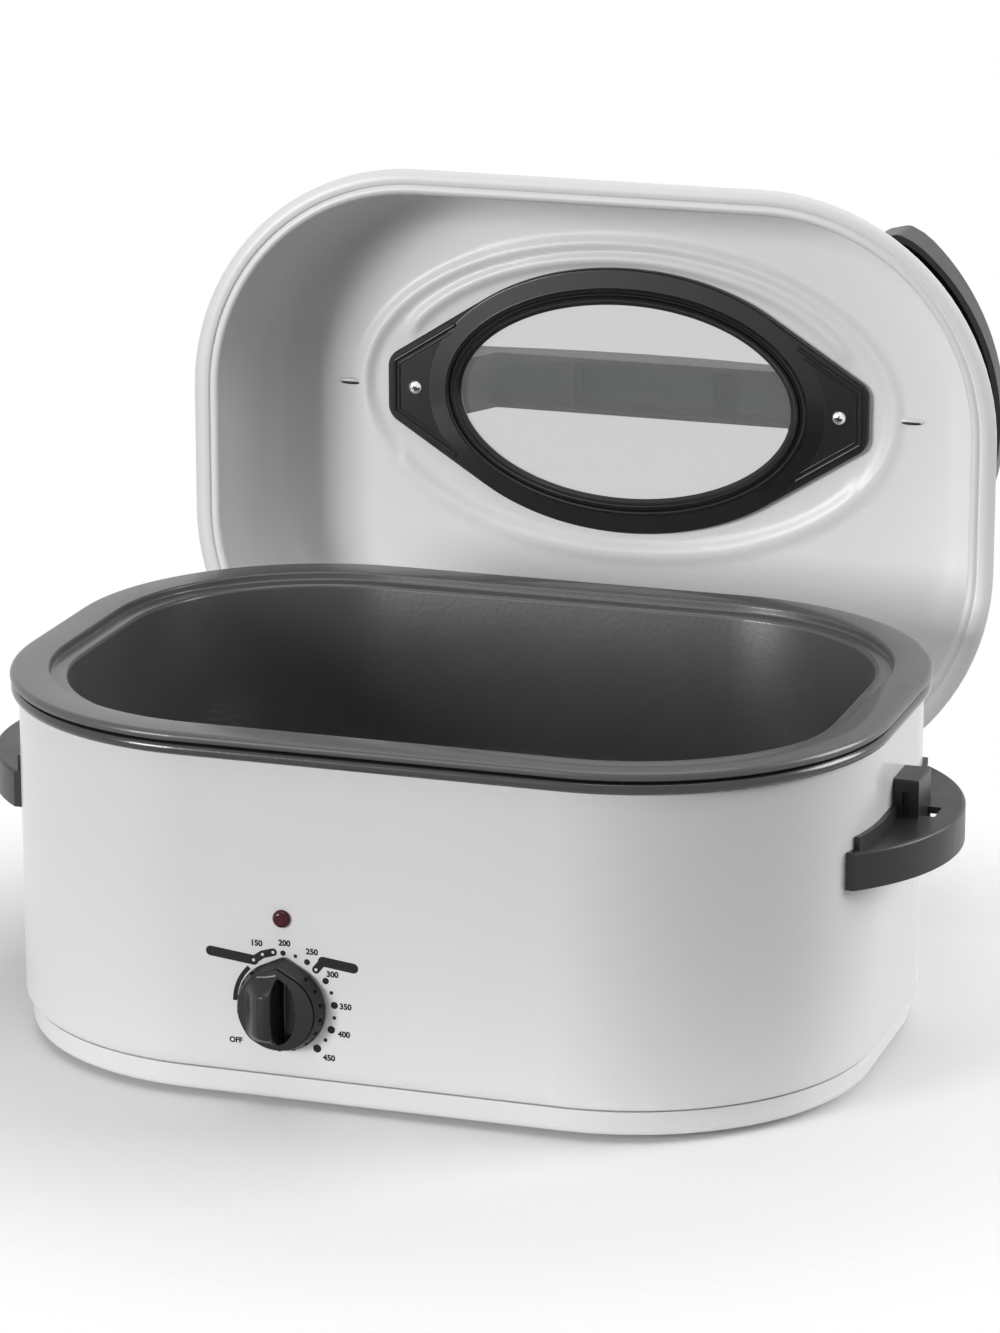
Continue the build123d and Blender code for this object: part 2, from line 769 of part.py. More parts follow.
handle_end = handle_half_length - handle_tip_cut
hollow_end = handle_half_length - handle_hollow_end
block_back = side_x + seat_gap
block_front = block_back + handle_block_depth
block_low = handle_low + handle_block_lift
handle_box = 2 * (handle_reach + rim_corner)  # wide enough to cut the handle's ends square
handle_mid_x = side_x + handle_reach - handle_box / 2
with BuildPart() as side_handle_right:
    with BuildSketch(Plane.XY.offset(handle_low)):
        handle_face(0)
        with Locations((handle_mid_x, 0)):
            Rectangle(handle_box, 2 * handle_end, mode=Mode.INTERSECT)
    extrude(amount=handle_skirt)
    fillet(side_handle_right.faces().sort_by(Axis.Z)[-1].edges().sort_by(Axis.X)[-1], handle_edge)
    with BuildSketch(Plane.XY.offset(handle_low)):
        handle_face(handle_wall)
        with Locations((handle_mid_x, 0)):
            Rectangle(handle_box, 2 * hollow_end, mode=Mode.INTERSECT)
    extrude(amount=handle_skirt - handle_plate, mode=Mode.SUBTRACT)
    with BuildSketch(Plane.XY.offset(handle_low)):
        outline(handle_back - handle_lip_width)
        with Locations((side_x, 0)):
            Rectangle(2 * rim_corner, 2 * handle_lip_half_length, mode=Mode.INTERSECT)
    extrude(amount=handle_skirt + handle_lip_rise)
    with BuildSketch(Plane.XY.offset(block_low)):
        with Locations(((block_front + side_x - handle_lip_width) / 2, 0)):
            Rectangle(block_front - side_x + handle_lip_width, handle_block_width)
    extrude(amount=handle_z + handle_block_rise - block_low)
    fillet(
        side_handle_right.faces().sort_by(Axis.Z)[-1].edges().group_by(Axis.X)[-1]
        + side_handle_right.faces().sort_by(Axis.Z)[-1].edges().filter_by(Axis.X),
        handle_block_edge,
    )
    with BuildSketch(Plane.XY.offset(handle_low)):
        outline(handle_back)
    extrude(amount=handle_skirt + handle_block_rise, mode=Mode.SUBTRACT)
    with BuildSketch(Plane.XY.offset(handle_z - handle_plate)):
        with Locations((block_front + handle_notch[0] / 2, 0)):
            Rectangle(*handle_notch)
    extrude(amount=handle_plate, mode=Mode.SUBTRACT)
    with BuildSketch(Plane.XZ.offset(handle_block_width / 2)):
        with Locations(((block_back + block_front) / 2, handle_z + handle_slot[1] / 2)):
            Rectangle(handle_slot[0], handle_slot[1])
    extrude(amount=-handle_slot[2], mode=Mode.SUBTRACT)
    with BuildSketch(side_plane(0, handle_screw_z, seat_gap)):
        with Locations((-handle_screw_y, 0), (handle_screw_y, 0)):
            Circle(screw_radius + thread_clearance)
    extrude(amount=handle_block_depth - handle_wall, mode=Mode.SUBTRACT)
save(side_handle_right.part, "side_handle_right")
side_handle_left = side_handle_right.part.mirror(Plane.YZ)
save(side_handle_left, "side_handle_left")

handle_screw_length = 10.0
with BuildPart() as side_handle_screws:
    for side in (-1, 1):
        for y in (-handle_screw_y, handle_screw_y):
            inside_wall = Plane(
                origin=(side * (side_x - wrap_sheet), y, handle_screw_z),
                x_dir=(0, 1, 0),
                z_dir=(-side, 0, 0),
            )
            add(screw(inside_wall, handle_screw_length))
save(side_handle_screws.part, "side_handle_screws")

# ---------------------------------------------------------------- rear hinge
ear_inside = link_thickness / 2 + ear_gap
ear_outside = ear_inside + ear_thickness
bracket_face = -front_y + bracket_plate


def pin(x, y, z):
    """A headed pin through a pair of ears."""
    middle = Plane(origin=(x, y, z), x_dir=(0, 1, 0), z_dir=(1, 0, 0))
    with BuildPart() as rod:
        with BuildSketch(middle.offset(-ear_outside)):
            Circle(pin_radius)
        extrude(amount=2 * ear_outside)
        for end in (-1, 1):
            with BuildSketch(middle.offset(end * ear_outside)):
                Circle(pin_radius + pin_head)
            extrude(amount=end * pin_head)
    return rod.part


for side, side_name in ((-1, "left"), (1, "right")):
    x = side * hinge_x
    with BuildPart() as hinge_bracket:
        with BuildSketch(rear_plane(x, lower_pivot_z)):
            RectangleRounded(4 * ear_outside, 2 * bracket_half_height, bracket_corner)
            with Locations((0, -bracket_screw_z), (0, bracket_screw_z)):
                Circle(screw_radius + hole_clearance, mode=Mode.SUBTRACT)
        extrude(amount=bracket_plate)
        for ear in (-1, 1):
            with BuildSketch(across_plane(x + ear * ear_inside)):
                with Locations(((bracket_face + pivot_y) / 2, lower_pivot_z)):
                    Rectangle(pivot_y - bracket_face, 2 * ear_radius)
                with Locations((pivot_y, lower_pivot_z)):
                    Circle(ear_radius)
                    Circle(pin_radius + running_clearance, mode=Mode.SUBTRACT)
            extrude(amount=ear * ear_thickness)
    save(hinge_bracket.part, f"hinge_bracket_{side_name}")

    with BuildPart() as hinge_link:
        with BuildSketch(across_plane(x - link_thickness / 2)):
            with Locations(((pivot_y + open_pivot_y) / 2, (lower_pivot_z + open_pivot_z) / 2)):
                SlotCenterToCenter(link_length, 2 * link_half_width, rotation=90 - link_swing)
            with Locations((pivot_y, lower_pivot_z), (open_pivot_y, open_pivot_z)):
                Circle(pin_radius + running_clearance, mode=Mode.SUBTRACT)
        extrude(amount=link_thickness)
    save(hinge_link.part, f"hinge_link_{side_name}")

bracket_screw_length = 8.0
with BuildPart() as hinge_bracket_screws:
    for x in (-hinge_x, hinge_x):
        for dz in (-bracket_screw_z, bracket_screw_z):
            add(screw(rear_plane(x, lower_pivot_z + dz, bracket_plate), bracket_screw_length))
save(hinge_bracket_screws.part, "hinge_bracket_screws")

with BuildPart() as lower_hinge_pins:
    for x in (-hinge_x, hinge_x):
        add(pin(x, pivot_y, lower_pivot_z))
save(lower_hinge_pins.part, "lower_hinge_pins")

with BuildPart() as upper_hinge_pins:
    for x in (-hinge_x, hinge_x):
        add(pin(x, open_pivot_y, open_pivot_z))
save(upper_hinge_pins.part, "upper_hinge_pins")


# ---------------------------------------------------------------- lid brackets
def lid_across_plane(x):
    """A plane square to the hinge's pins in the lid's frame: local X to its hinge edge, local Y its height."""
    return Plane(origin=(x, lid_y, lid_z), x_dir=(0, 0, -1), z_dir=(1, 0, 0))


def lid_wall_at(height):
    """How far from the lid's middle its rear wall stands at this height above the flange."""
    return lid_half_depth - lid_flange - height * lid_slope


rivet_height = lid_bracket_rise - 2 * screw_radius - lid_bracket_edge
leg_top = lid_bracket_rise
leg_foot = lid_bracket_clear
leg_plate = lid_bracket_plate
leg_bend = leg_foot + leg_plate
leg_end = pivot_y - hinge_offset  # the tab ends short of the link
ear_root = lid_wall_at(leg_top) + leg_plate  # inside the leg over its whole height
ear_top = leg_bend + lid_ear_radius
lid_ear_slant = lid_ear_radius * cos(radians(45))
for side, side_name in ((-1, "left"), (1, "right")):
    x = side * hinge_x
    with BuildPart() as lid_bracket:
        with BuildSketch(lid_across_plane(x - 2 * ear_outside)):
            Polygon(
                (leg_end, leg_foot),
                (leg_end, leg_bend),
                (lid_wall_at(leg_bend) + seat_gap + leg_plate, leg_bend),
                (lid_wall_at(leg_top) + seat_gap + leg_plate, leg_top),
                (lid_wall_at(leg_top) + seat_gap, leg_top),
                (lid_wall_at(leg_foot) + seat_gap, leg_foot),
                align=None,
            )
        extrude(amount=4 * ear_outside)
        for ear in (-1, 1):
            with BuildSketch(lid_across_plane(x + ear * ear_inside)):
                Polygon(
                    (pivot_y - lid_ear_radius, leg_foot),
                    (pivot_y - lid_ear_radius, -hinge_drop),
                    (pivot_y + lid_ear_slant, lid_ear_slant - hinge_drop),
                    (pivot_y - lid_ear_radius, ear_top),
                    (ear_root, ear_top),
                    (ear_root, leg_foot),
                    align=None,
                )
                with Locations((pivot_y, -hinge_drop)):
                    Circle(lid_ear_radius)
                    Circle(pin_radius + running_clearance, mode=Mode.SUBTRACT)
            extrude(amount=ear * ear_thickness)
        with BuildSketch(Plane(origin=(x, lid_y + rivet_height, lid_z), x_dir=(1, 0, 0), z_dir=(0, 0, -1))):
            with Locations((-rivet_x, 0), (rivet_x, 0)):
                Circle(screw_radius + hole_clearance)
        extrude(amount=pivot_y, mode=Mode.SUBTRACT)
    save(lid_bracket.part, f"lid_bracket_{side_name}")

rivet_in = lid_wall_at(rivet_height) - lid_sheet - rivet_gap
rivet_out = lid_wall_at(rivet_height) + seat_gap + leg_plate + rivet_gap
with BuildPart() as lid_bracket_rivets:
    for x in (-hinge_x, hinge_x):
        for dx in (-rivet_x, rivet_x):
            down = Plane(origin=(x + dx, lid_y + rivet_height, lid_z), x_dir=(1, 0, 0), z_dir=(0, 0, -1))
            add(cylinder(down, screw_radius, rivet_in, rivet_out))
            add(cylinder(down, rivet_head_radius, rivet_in - rivet_head, rivet_in))
            add(cylinder(down, rivet_head_radius, rivet_out, rivet_out + rivet_head))
save(lid_bracket_rivets.part, "lid_bracket_rivets")

# ---------------------------------------------------------------- lid shell
window_centre = (0, -window_shift)
opening_half_width = glass_half_width - window_lip
opening_half_height = glass_half_height - window_lip
lid_block = dome(lid_flange, 0, lid_height, lid_cove)
lid_hollow = dome(lid_flange + lid_sheet, 0, roof_inside, lid_cove - lid_sheet)
with BuildPart() as lid_shell:
    with BuildSketch(lid_plane):
        lid_outline(0)
    extrude(amount=lid_sheet)
    add(lid_block)
    add(lid_hollow, mode=Mode.SUBTRACT)
    with BuildSketch(lid_plane.offset(roof_inside)):
        with Locations(window_centre):
            Ellipse(opening_half_width + sheet_setback, opening_half_height + sheet_setback)
        with Locations((-lid_screw_x, -window_shift), (lid_screw_x, -window_shift)):
            Circle(screw_radius + hole_clearance)
        with Locations((-lid_vent_x, -window_shift), (lid_vent_x, -window_shift)):
            SlotOverall(*lid_vent_slot)
    extrude(amount=lid_sheet, mode=Mode.SUBTRACT)
    for x in (-hinge_x, hinge_x):
        with BuildSketch(Plane(origin=(x, lid_y + rivet_height, lid_z), x_dir=(1, 0, 0), z_dir=(0, 0, -1))):
            with Locations((-rivet_x, 0), (rivet_x, 0)):
                Circle(screw_radius + hole_clearance)
        extrude(amount=pivot_y, mode=Mode.SUBTRACT)
save(lid_shell.part, "lid_shell")

# ---------------------------------------------------------------- window
glass_top = roof_inside - gasket_thickness
glass_low = glass_top - glass_thickness
with BuildPart() as window_glass:
    with BuildSketch(lid_plane.offset(glass_low)):
        with Locations(window_centre):
            Ellipse(glass_half_width, glass_half_height)
    extrude(amount=glass_thickness)
save(window_glass.part, "window_glass")

with BuildPart() as window_gasket:
    with BuildSketch(lid_plane.offset(glass_top)):
        with Locations(window_centre):
            Ellipse(glass_half_width, glass_half_height)
            Ellipse(
                opening_half_width + gasket_setback,
                opening_half_height + gasket_setback,
                mode=Mode.SUBTRACT,
            )
    extrude(amount=gasket_thickness)
save(window_gasket.part, "window_gasket")

tab_root = glass_half_width - 2 * frame_border
with BuildPart() as window_frame:
    with BuildSketch(lid_plane.offset(roof_inside - frame_depth)):
        with Locations(window_centre):
            Ellipse(glass_half_width + frame_border, glass_half_height + frame_border)
            Ellipse(opening_half_width, opening_half_height, mode=Mode.SUBTRACT)
    extrude(amount=frame_depth)
    with BuildSketch(lid_plane.offset(roof_inside - tab_thickness)):
        for side in (-1, 1):
            Polygon(
                (side * tab_root, -window_shift - tab_root_half_height),
                (side * tab_reach, -window_shift - tab_tip_half_height),
                (side * tab_reach, -window_shift + tab_tip_half_height),
                (side * tab_root, -window_shift + tab_root_half_height),
                align=None,
            )
    extrude(amount=tab_thickness)
    with BuildSketch(lid_plane.offset(glass_low)):
        with Locations(window_centre):
            Ellipse(glass_half_width + hole_clearance, glass_half_height + hole_clearance)
    extrude(amount=glass_thickness + gasket_thickness, mode=Mode.SUBTRACT)
    with BuildSketch(lid_plane.offset(roof_inside - tab_thickness)):
        with Locations((-lid_screw_x, -window_shift), (lid_screw_x, -window_shift)):
            Circle(screw_radius + hole_clearance)
    extrude(amount=tab_thickness, mode=Mode.SUBTRACT)
save(window_frame.part, "window_frame")

lid_screw_length = 16.0
with BuildPart() as lid_handle_screws:
    for x in (-lid_screw_x, lid_screw_x):
        under_tab = Plane(
            origin=(x, lid_y + roof_inside - tab_thickness, lid_z + window_shift),
            x_dir=(1, 0, 0),
            z_dir=(0, -1, 0),
        )
        add(screw(under_tab, lid_screw_length))
save(lid_handle_screws.part, "lid_handle_screws")


# ---------------------------------------------------------------- lid handle
lid_handle_end_x = lid_handle_half_length - lid_handle_end_radius
lid_handle_fan_x = lid_handle_half_length - lid_handle_fan_width
grip_low = lid_height + lid_handle_rise - lid_grip_depth
grip_span_x = lid_handle_foot_x - lid_grip_slope
section = Plane(origin=(0, lid_y, lid_z + window_shift), x_dir=(1, 0, 0), z_dir=(0, 0, 1))
section_reach = 2 * lid_handle_end_radius


def handle_fan(side, shrink):
    """One end of the lid handle's plan: a straight inner edge and an outer edge that is an arc."""
    inner_x = side * (lid_handle_fan_x + shrink)
    half = lid_handle_fan_half_height - shrink
    tip = lid_handle_half_length - shrink
    corner_in = lid_handle_end_x + ((lid_handle_end_radius - shrink) ** 2 - half**2) ** 0.5
    low_y, high_y = -window_shift - half, -window_shift + half
    with BuildLine() as edge:
        ThreePointArc((side * corner_in, low_y), (side * tip, -window_shift), (side * corner_in, high_y))
        Polyline(
            (side * corner_in, high_y), (inner_x, high_y), (inner_x, low_y), (side * corner_in, low_y)
        )
    make_face(edge.edges())


def handle_plan(low, high, shrink):
    """A block with the lid handle's plan: a bar that fans out at each end."""
    with BuildPart() as block:
        with BuildSketch(lid_plane.offset(low)) as plan:
            with Locations(window_centre):
                Rectangle(2 * (lid_handle_fan_x + lid_handle_blend), 2 * (lid_grip_half_width - shrink))
            handle_fan(-1, shrink)
            handle_fan(1, shrink)
            corners = plan.vertices().group_by(lambda v: abs(v.Y + window_shift))
            fillet(corners[0], lid_handle_blend + shrink)
        extrude(amount=high - low)
        uprights = block.edges().filter_by(Axis.Y).filter_by(
            lambda e: abs(e.center().Z - lid_z - window_shift) > lid_handle_fan_half_height - shrink - 1
        )
        fillet(uprights, lid_handle_fan_corner - shrink)
    return block.part


def handle_section(shrink):
    """A slab with the lid handle's long section: an arch that stands on two feet."""
    half = lid_handle_half_length + lid_handle_wall - shrink  # a little past the plan's tips
    end_top = lid_height + lid_handle_end_rise - shrink
    foot = lid_height - shrink
    with BuildPart() as slab:
        with BuildSketch(section):
            with BuildLine() as arch:
                ThreePointArc((half, end_top), (0, lid_height + lid_handle_rise - shrink), (-half, end_top))
                Polyline(
                    (-half, end_top),
                    (-half, foot),
                    (-lid_handle_foot_x - shrink, foot),
                    (-grip_span_x - shrink, grip_low - shrink),
                    (grip_span_x + shrink, grip_low - shrink),
                    (lid_handle_foot_x + shrink, foot),
                    (half, foot),
                    (half, end_top),
                )
            make_face(arch.edges())
        extrude(amount=section_reach, both=True)
    return slab.part


handle_outer = handle_plan(lid_height, lid_height + lid_handle_rise, 0)
handle_arch = handle_section(0)
hollow_outer = handle_plan(lid_height - lid_handle_wall, lid_height + lid_handle_rise, lid_handle_wall)
hollow_arch = handle_section(lid_handle_wall)
with BuildPart() as lid_handle_hollow:
    add(hollow_outer)
    add(hollow_arch, mode=Mode.INTERSECT)
    with BuildSketch(lid_plane.offset(lid_height - lid_handle_wall)):
        with Locations((-lid_screw_x, -window_shift), (lid_screw_x, -window_shift)):
            Circle(lid_boss_radius)
        with Locations((-lid_rib_x, -window_shift), (lid_rib_x, -window_shift)):
            Rectangle(lid_handle_wall, 2 * lid_grip_half_width)
    extrude(amount=lid_handle_rise, mode=Mode.SUBTRACT)
with BuildPart() as lid_handle:
    add(handle_outer)
    add(handle_arch, mode=Mode.INTERSECT)
    add(lid_handle_hollow.part, mode=Mode.SUBTRACT)
    with BuildSketch(lid_plane.offset(lid_height)):
        with Locations((-lid_screw_x, -window_shift), (lid_screw_x, -window_shift)):
            Circle(screw_radius + thread_clearance)
    extrude(amount=lid_screw_length, mode=Mode.SUBTRACT)
save(lid_handle.part, "lid_handle")
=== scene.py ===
"""Electric roaster oven with its lid swung back upright: the pieces that dress its frame.

Metres, +Z up, the knob faces -Y.  The sections follow the oven as it is put together, from the light and the
table up through the body to the lid.
"""

import json
from math import atan2, cos, hypot, pi, radians, sin, tan

import bmesh
import bpy
from mathutils import Matrix, Vector

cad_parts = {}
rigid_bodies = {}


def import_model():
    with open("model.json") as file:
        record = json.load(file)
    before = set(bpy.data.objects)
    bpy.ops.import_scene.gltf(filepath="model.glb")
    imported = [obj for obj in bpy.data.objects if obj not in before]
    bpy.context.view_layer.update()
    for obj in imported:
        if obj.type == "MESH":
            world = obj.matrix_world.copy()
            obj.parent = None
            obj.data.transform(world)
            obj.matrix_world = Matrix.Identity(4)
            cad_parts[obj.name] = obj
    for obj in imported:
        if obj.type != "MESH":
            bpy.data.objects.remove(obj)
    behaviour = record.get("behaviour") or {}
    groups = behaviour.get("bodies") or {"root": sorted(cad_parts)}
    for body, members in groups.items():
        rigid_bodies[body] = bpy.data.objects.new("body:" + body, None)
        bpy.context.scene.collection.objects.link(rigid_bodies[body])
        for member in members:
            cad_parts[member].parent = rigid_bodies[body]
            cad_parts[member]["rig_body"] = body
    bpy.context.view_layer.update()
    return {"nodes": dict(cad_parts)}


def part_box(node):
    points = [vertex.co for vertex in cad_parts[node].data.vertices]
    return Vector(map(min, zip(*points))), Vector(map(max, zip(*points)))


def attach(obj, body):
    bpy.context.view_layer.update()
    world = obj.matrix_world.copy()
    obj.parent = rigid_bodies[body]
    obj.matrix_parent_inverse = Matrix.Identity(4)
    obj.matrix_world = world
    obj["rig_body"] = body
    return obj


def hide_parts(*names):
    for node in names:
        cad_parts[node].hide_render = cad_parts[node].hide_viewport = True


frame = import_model()
nodes = frame["nodes"]

# ---------------------------------------------------------------- view
# A long lens, above and to the right of the oven's front.  From there the dial, the pan and the inside of
# the open lid all show.
eye = bpy.data.cameras.new("view")
eye.sensor_fit = "HORIZONTAL"
eye.sensor_width = 36
eye.lens = 187.2
eye.clip_end = 100
view = bpy.data.objects.new("view", eye)
view.location = (0.915506, -2.748194, 1.039886)
view.rotation_euler = (pi / 2 - 0.278, 0, 0.316)
bpy.context.scene.collection.objects.link(view)
bpy.context.scene.camera = view
bpy.context.scene.view_settings.view_transform = "Standard"


# ---------------------------------------------------------------- table, backdrop and light
# A pale table that keeps the oven's shadow, a white surround, and three soft lamps: a large one in front
# to the left, a small one to the right and one overhead.
def lamp(name, place, aim, size, watts):
    """A soft square lamp at a place, turned to an aim."""
    light = bpy.data.lights.new(name, "AREA")
    light.shape = "SQUARE"
    light.size = size
    light.energy = watts
    box = bpy.data.objects.new(name, light)
    box.location = place
    box.rotation_euler = (Vector(aim) - Vector(place)).to_track_quat("-Z", "Y").to_euler()
    bpy.context.scene.collection.objects.link(box)


lamp("window_left", (-3.6, -5.3, 1.4), (0, 0, 0.2), 2.0, 260)
lamp("window_right", (2.5, 1.0, 1.2), (0.1, 0, 0.15), 1.4, 52)
lamp("ceiling", (0.2, -0.3, 2.6), (0, 0, 0.2), 2.2, 26)

# The surround is white where it is seen, in gloss and glass too, and lights the oven at a tenth of that.
surround_light = 0.1
world = bpy.data.worlds.new("surround")
bpy.context.scene.world = world
world.use_nodes = True
sky = world.node_tree
sky_ray = sky.nodes.new("ShaderNodeLightPath")
sky_seen = sky.nodes.new("ShaderNodeMath")
sky_seen.operation = "MAXIMUM"
sky.links.new(sky_ray.outputs["Is Camera Ray"], sky_seen.inputs[0])
sky_through = sky.nodes.new("ShaderNodeMath")
sky_through.operation = "MAXIMUM"
sky.links.new(sky_ray.outputs["Is Transmission Ray"], sky_through.inputs[0])
sky.links.new(sky_ray.outputs["Is Glossy Ray"], sky_through.inputs[1])
sky.links.new(sky_through.outputs[0], sky_seen.inputs[1])
sky_level = sky.nodes.new("ShaderNodeMapRange")
sky_level.inputs["To Min"].default_value = surround_light
sky.links.new(sky_seen.outputs[0], sky_level.inputs["Value"])
sky.links.new(sky_level.outputs["Result"], sky.nodes["Background"].inputs["Strength"])
sky.nodes["Background"].inputs["Color"].default_value = (1, 1, 1, 1)


class Wire:
    """A value in a finish.  Arithmetic on it adds Math nodes."""

    def __init__(self, finish, socket):
        self.finish = finish
        self.socket = socket

    def math(self, operation, *values):
        return self.finish.add("ShaderNodeMath", {"operation": operation}, dict(enumerate(values)))

    def __add__(self, other):
        return self.math("ADD", self, other)

    def __rsub__(self, other):
        return self.math("SUBTRACT", other, self)

    def __mul__(self, other):
        return self.math("MULTIPLY", self, other)

    def above(self, level):
        return self.math("GREATER_THAN", self, level)

    __radd__ = __add__
    __rmul__ = __mul__


class Finish:
    """One finish: a principled surface, and the nodes that vary it."""

    def __init__(self, name, colour, roughness, **fixed):
        self.material = bpy.data.materials.new(name)
        self.material.use_nodes = True
        self.tree = self.material.node_tree
        self.surface = self.tree.nodes["Principled BSDF"]
        self.place = Wire(self, self.tree.nodes.new("ShaderNodeTexCoord").outputs["Object"])
        self.set(Base_Color=(*colour, 1), Roughness=roughness, **fixed)

    def add(self, kind, settings=None, sockets=None, output=0):
        """A node of any kind: its settings first, then its sockets' values or wires."""
        node = self.tree.nodes.new(kind)
        for name, value in (settings or {}).items():
            setattr(node, name, value)
        for name, value in (sockets or {}).items():
            self.plug(node.inputs[name], value)
        return Wire(self, node.outputs[output])

    def plug(self, socket, value):
        if isinstance(value, Wire):
            self.tree.links.new(value.socket, socket)
        else:
            socket.default_value = value

    def set(self, **sockets):
        for name, value in sockets.items():
            self.plug(self.surface.inputs[name.replace("_", " ")], value)

    def mottle(self, scale, detail=2, stretch=(1, 1, 1)):
        """Soft noise from 0 to 1, with its size in marks to the metre."""
        place = self.add("ShaderNodeMapping", None, {"Vector": self.place, "Scale": stretch})
        return self.add("ShaderNodeTexNoise", None, {"Vector": place, "Scale": scale, "Detail": detail})

    def blend(self, amount, first, second):
        """One colour turning to another by an amount from 0 to 1."""
        sockets = {0: amount, 6: (*first, 1), 7: (*second, 1)}
        return self.add("ShaderNodeMix", {"data_type": "RGBA"}, sockets, output=2)

    def relief(self, height, depth):
        """Fine relief of this depth in metres, from a height of 0 to 1."""
        self.set(Normal=self.add("ShaderNodeBump", None, {"Height": height, "Distance": depth}))

    def coat(self, *pieces):
        """Put the finish on pieces, in place of what they had."""
        for piece in pieces:
            piece.data.materials.clear()
            piece.data.materials.append(self.material)


# The table fades into the surround away from the oven.
table_half = 1.2
fade_start, fade_end = 0.24, 0.52
table_paint = Finish("table_paint", (0.97, 0.97, 0.97), 0.6)
table_paint.set(Base_Color=table_paint.blend(table_paint.mottle(3), (0.96, 0.96, 0.96), (0.98, 0.98, 0.98)))
table_far = table_paint.add("ShaderNodeVectorMath", {"operation": "LENGTH"}, {0: table_paint.place}, output=1)
table_fade = table_paint.add(
    "ShaderNodeMapRange",
    {"interpolation_type": "SMOOTHSTEP"},
    {"Value": table_far, "From Min": fade_start, "From Max": fade_end, "To Min": 1.0, "To Max": 0.0},
)
table_paint.set(Alpha=table_fade)
bm = bmesh.new()
bmesh.ops.create_grid(bm, x_segments=1, y_segments=1, size=table_half)
table_mesh = bpy.data.meshes.new("table")
bm.to_mesh(table_mesh)
bm.free()
table = bpy.data.objects.new("table", table_mesh)
bpy.context.scene.collection.objects.link(table)
table_paint.coat(table)

# ---------------------------------------------------------------- housing and base pan
# A steel wrap and the tray that closes it below, both pressed, sprayed white and baked.  The paint is a
# smooth gloss with the faint orange peel of a thick coat.
white_enamel = Finish("white_enamel", (0.8, 0.8, 0.8), 0.3, Coat_Weight=0.35, Coat_Roughness=0.12)
clouds = 0.2 + 0.6 * white_enamel.mottle(9)
white_enamel.set(
    Base_Color=white_enamel.blend(clouds, (0.775, 0.775, 0.78), (0.81, 0.81, 0.81)),
    Roughness=0.29 + 0.1 * white_enamel.mottle(14),
)
white_enamel.relief(white_enamel.mottle(420, 3), 0.00006)
white_enamel.coat(nodes["housing"], nodes["base_pan"])


# ---------------------------------------------------------------- rim ring
# The band under the pan's edge, pressed in steel and enamelled a glossy black.  Its profile, a convex
# bead with a groove above it, is drawn once round the rim.
def bow(inset, height, radius, start, end, steps):
    """Points of (inset, height) along an arc, its angles in degrees, 0 pointing inward and 90 up."""
    turns = [radians(start + (end - start) * k / steps) for k in range(steps + 1)]
    return [(inset + radius * cos(t), height + radius * sin(t)) for t in turns]


def press_round(profile, half_width, half_depth, corner, closed=False):
    """Draw a profile of (inset, height) points once round a rounded rectangle."""
    side_steps, front_steps, corner_steps = 8, 20, 24
    bm = bmesh.new()
    corner_x = half_width - corner
    corner_y = half_depth - corner
    chain = [bm.verts.new((half_width - inset, -corner_y, height)) for inset, height in profile]
    edges = [bm.edges.new(pair) for pair in zip(chain, chain[1:])]
    if closed:
        edges.append(bm.edges.new((chain[-1], chain[0])))
    for turn, (sx, sy) in enumerate(((1, 1), (-1, 1), (-1, -1), (1, -1))):
        length, steps = (2 * corner_y, side_steps) if turn % 2 == 0 else (2 * corner_x, front_steps)
        way = Matrix.Rotation(turn * pi / 2, 3, "Z") @ Vector((0, 1, 0))
        for _ in range(steps):
            made = bmesh.ops.extrude_edge_only(bm, edges=edges)["geom"]
            moved = [g for g in made if isinstance(g, bmesh.types.BMVert)]
            edges = [g for g in made if isinstance(g, bmesh.types.BMEdge)]
            bmesh.ops.translate(bm, verts=moved, vec=way * length / steps)
        made = bmesh.ops.spin(
            bm,
            geom=edges + moved,
            cent=(sx * corner_x, sy * corner_y, 0),
            axis=(0, 0, 1),
            angle=pi / 2,
            steps=corner_steps,
        )["geom_last"]
        edges = [g for g in made if isinstance(g, bmesh.types.BMEdge)]
    bmesh.ops.remove_doubles(bm, verts=bm.verts, dist=1e-5)
    return bm


def faced_out(bm):
    """Turn every face outwards."""
    bmesh.ops.recalc_face_normals(bm, faces=bm.faces)
    return bm


def grown(name, bm, body, finish, smooth=35):
    """Make a piece of a bmesh, let it ride on a body, and give it its finish and slot."""
    mesh = bpy.data.meshes.new(name)
    bm.to_mesh(mesh)
    bm.free()
    mesh.shade_smooth()
    mesh.set_sharp_from_angle(angle=radians(smooth))
    piece = bpy.data.objects.new(name, mesh)
    bpy.context.scene.collection.objects.link(piece)
    finish.coat(piece)
    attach(piece, body)
    return piece


ring_low, ring_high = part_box("rim_ring")
pan_low, pan_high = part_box("roasting_pan")
rim_half_width = pan_high.x
rim_half_depth = pan_high.y
rim_corner = 0.150
black_gloss = Finish("black_gloss", (0.016, 0.016, 0.017), 0.2, Specular_IOR_Level=0.6, Coat_Weight=0.3)
black_gloss.set(Roughness=0.14 + 0.14 * black_gloss.mottle(30))
black_gloss.relief(black_gloss.mottle(260, 3), 0.00005)
ring_profile = [(0.009, ring_high.z - 0.0002), (0.0026, ring_high.z - 0.0002)]
ring_profile += [(0.0018, ring_high.z - 0.0007)]
ring_profile += bow(0.0042, ring_low.z + 0.0039, 0.0037, 120, 262, 12)
ring_profile += [(0.009, ring_low.z)]
ring = grown(
    "rim_ring_beaded",
    faced_out(press_round(ring_profile, rim_half_width, rim_half_depth, rim_corner, closed=True)),
    "oven",
    black_gloss,
)
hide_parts("rim_ring")

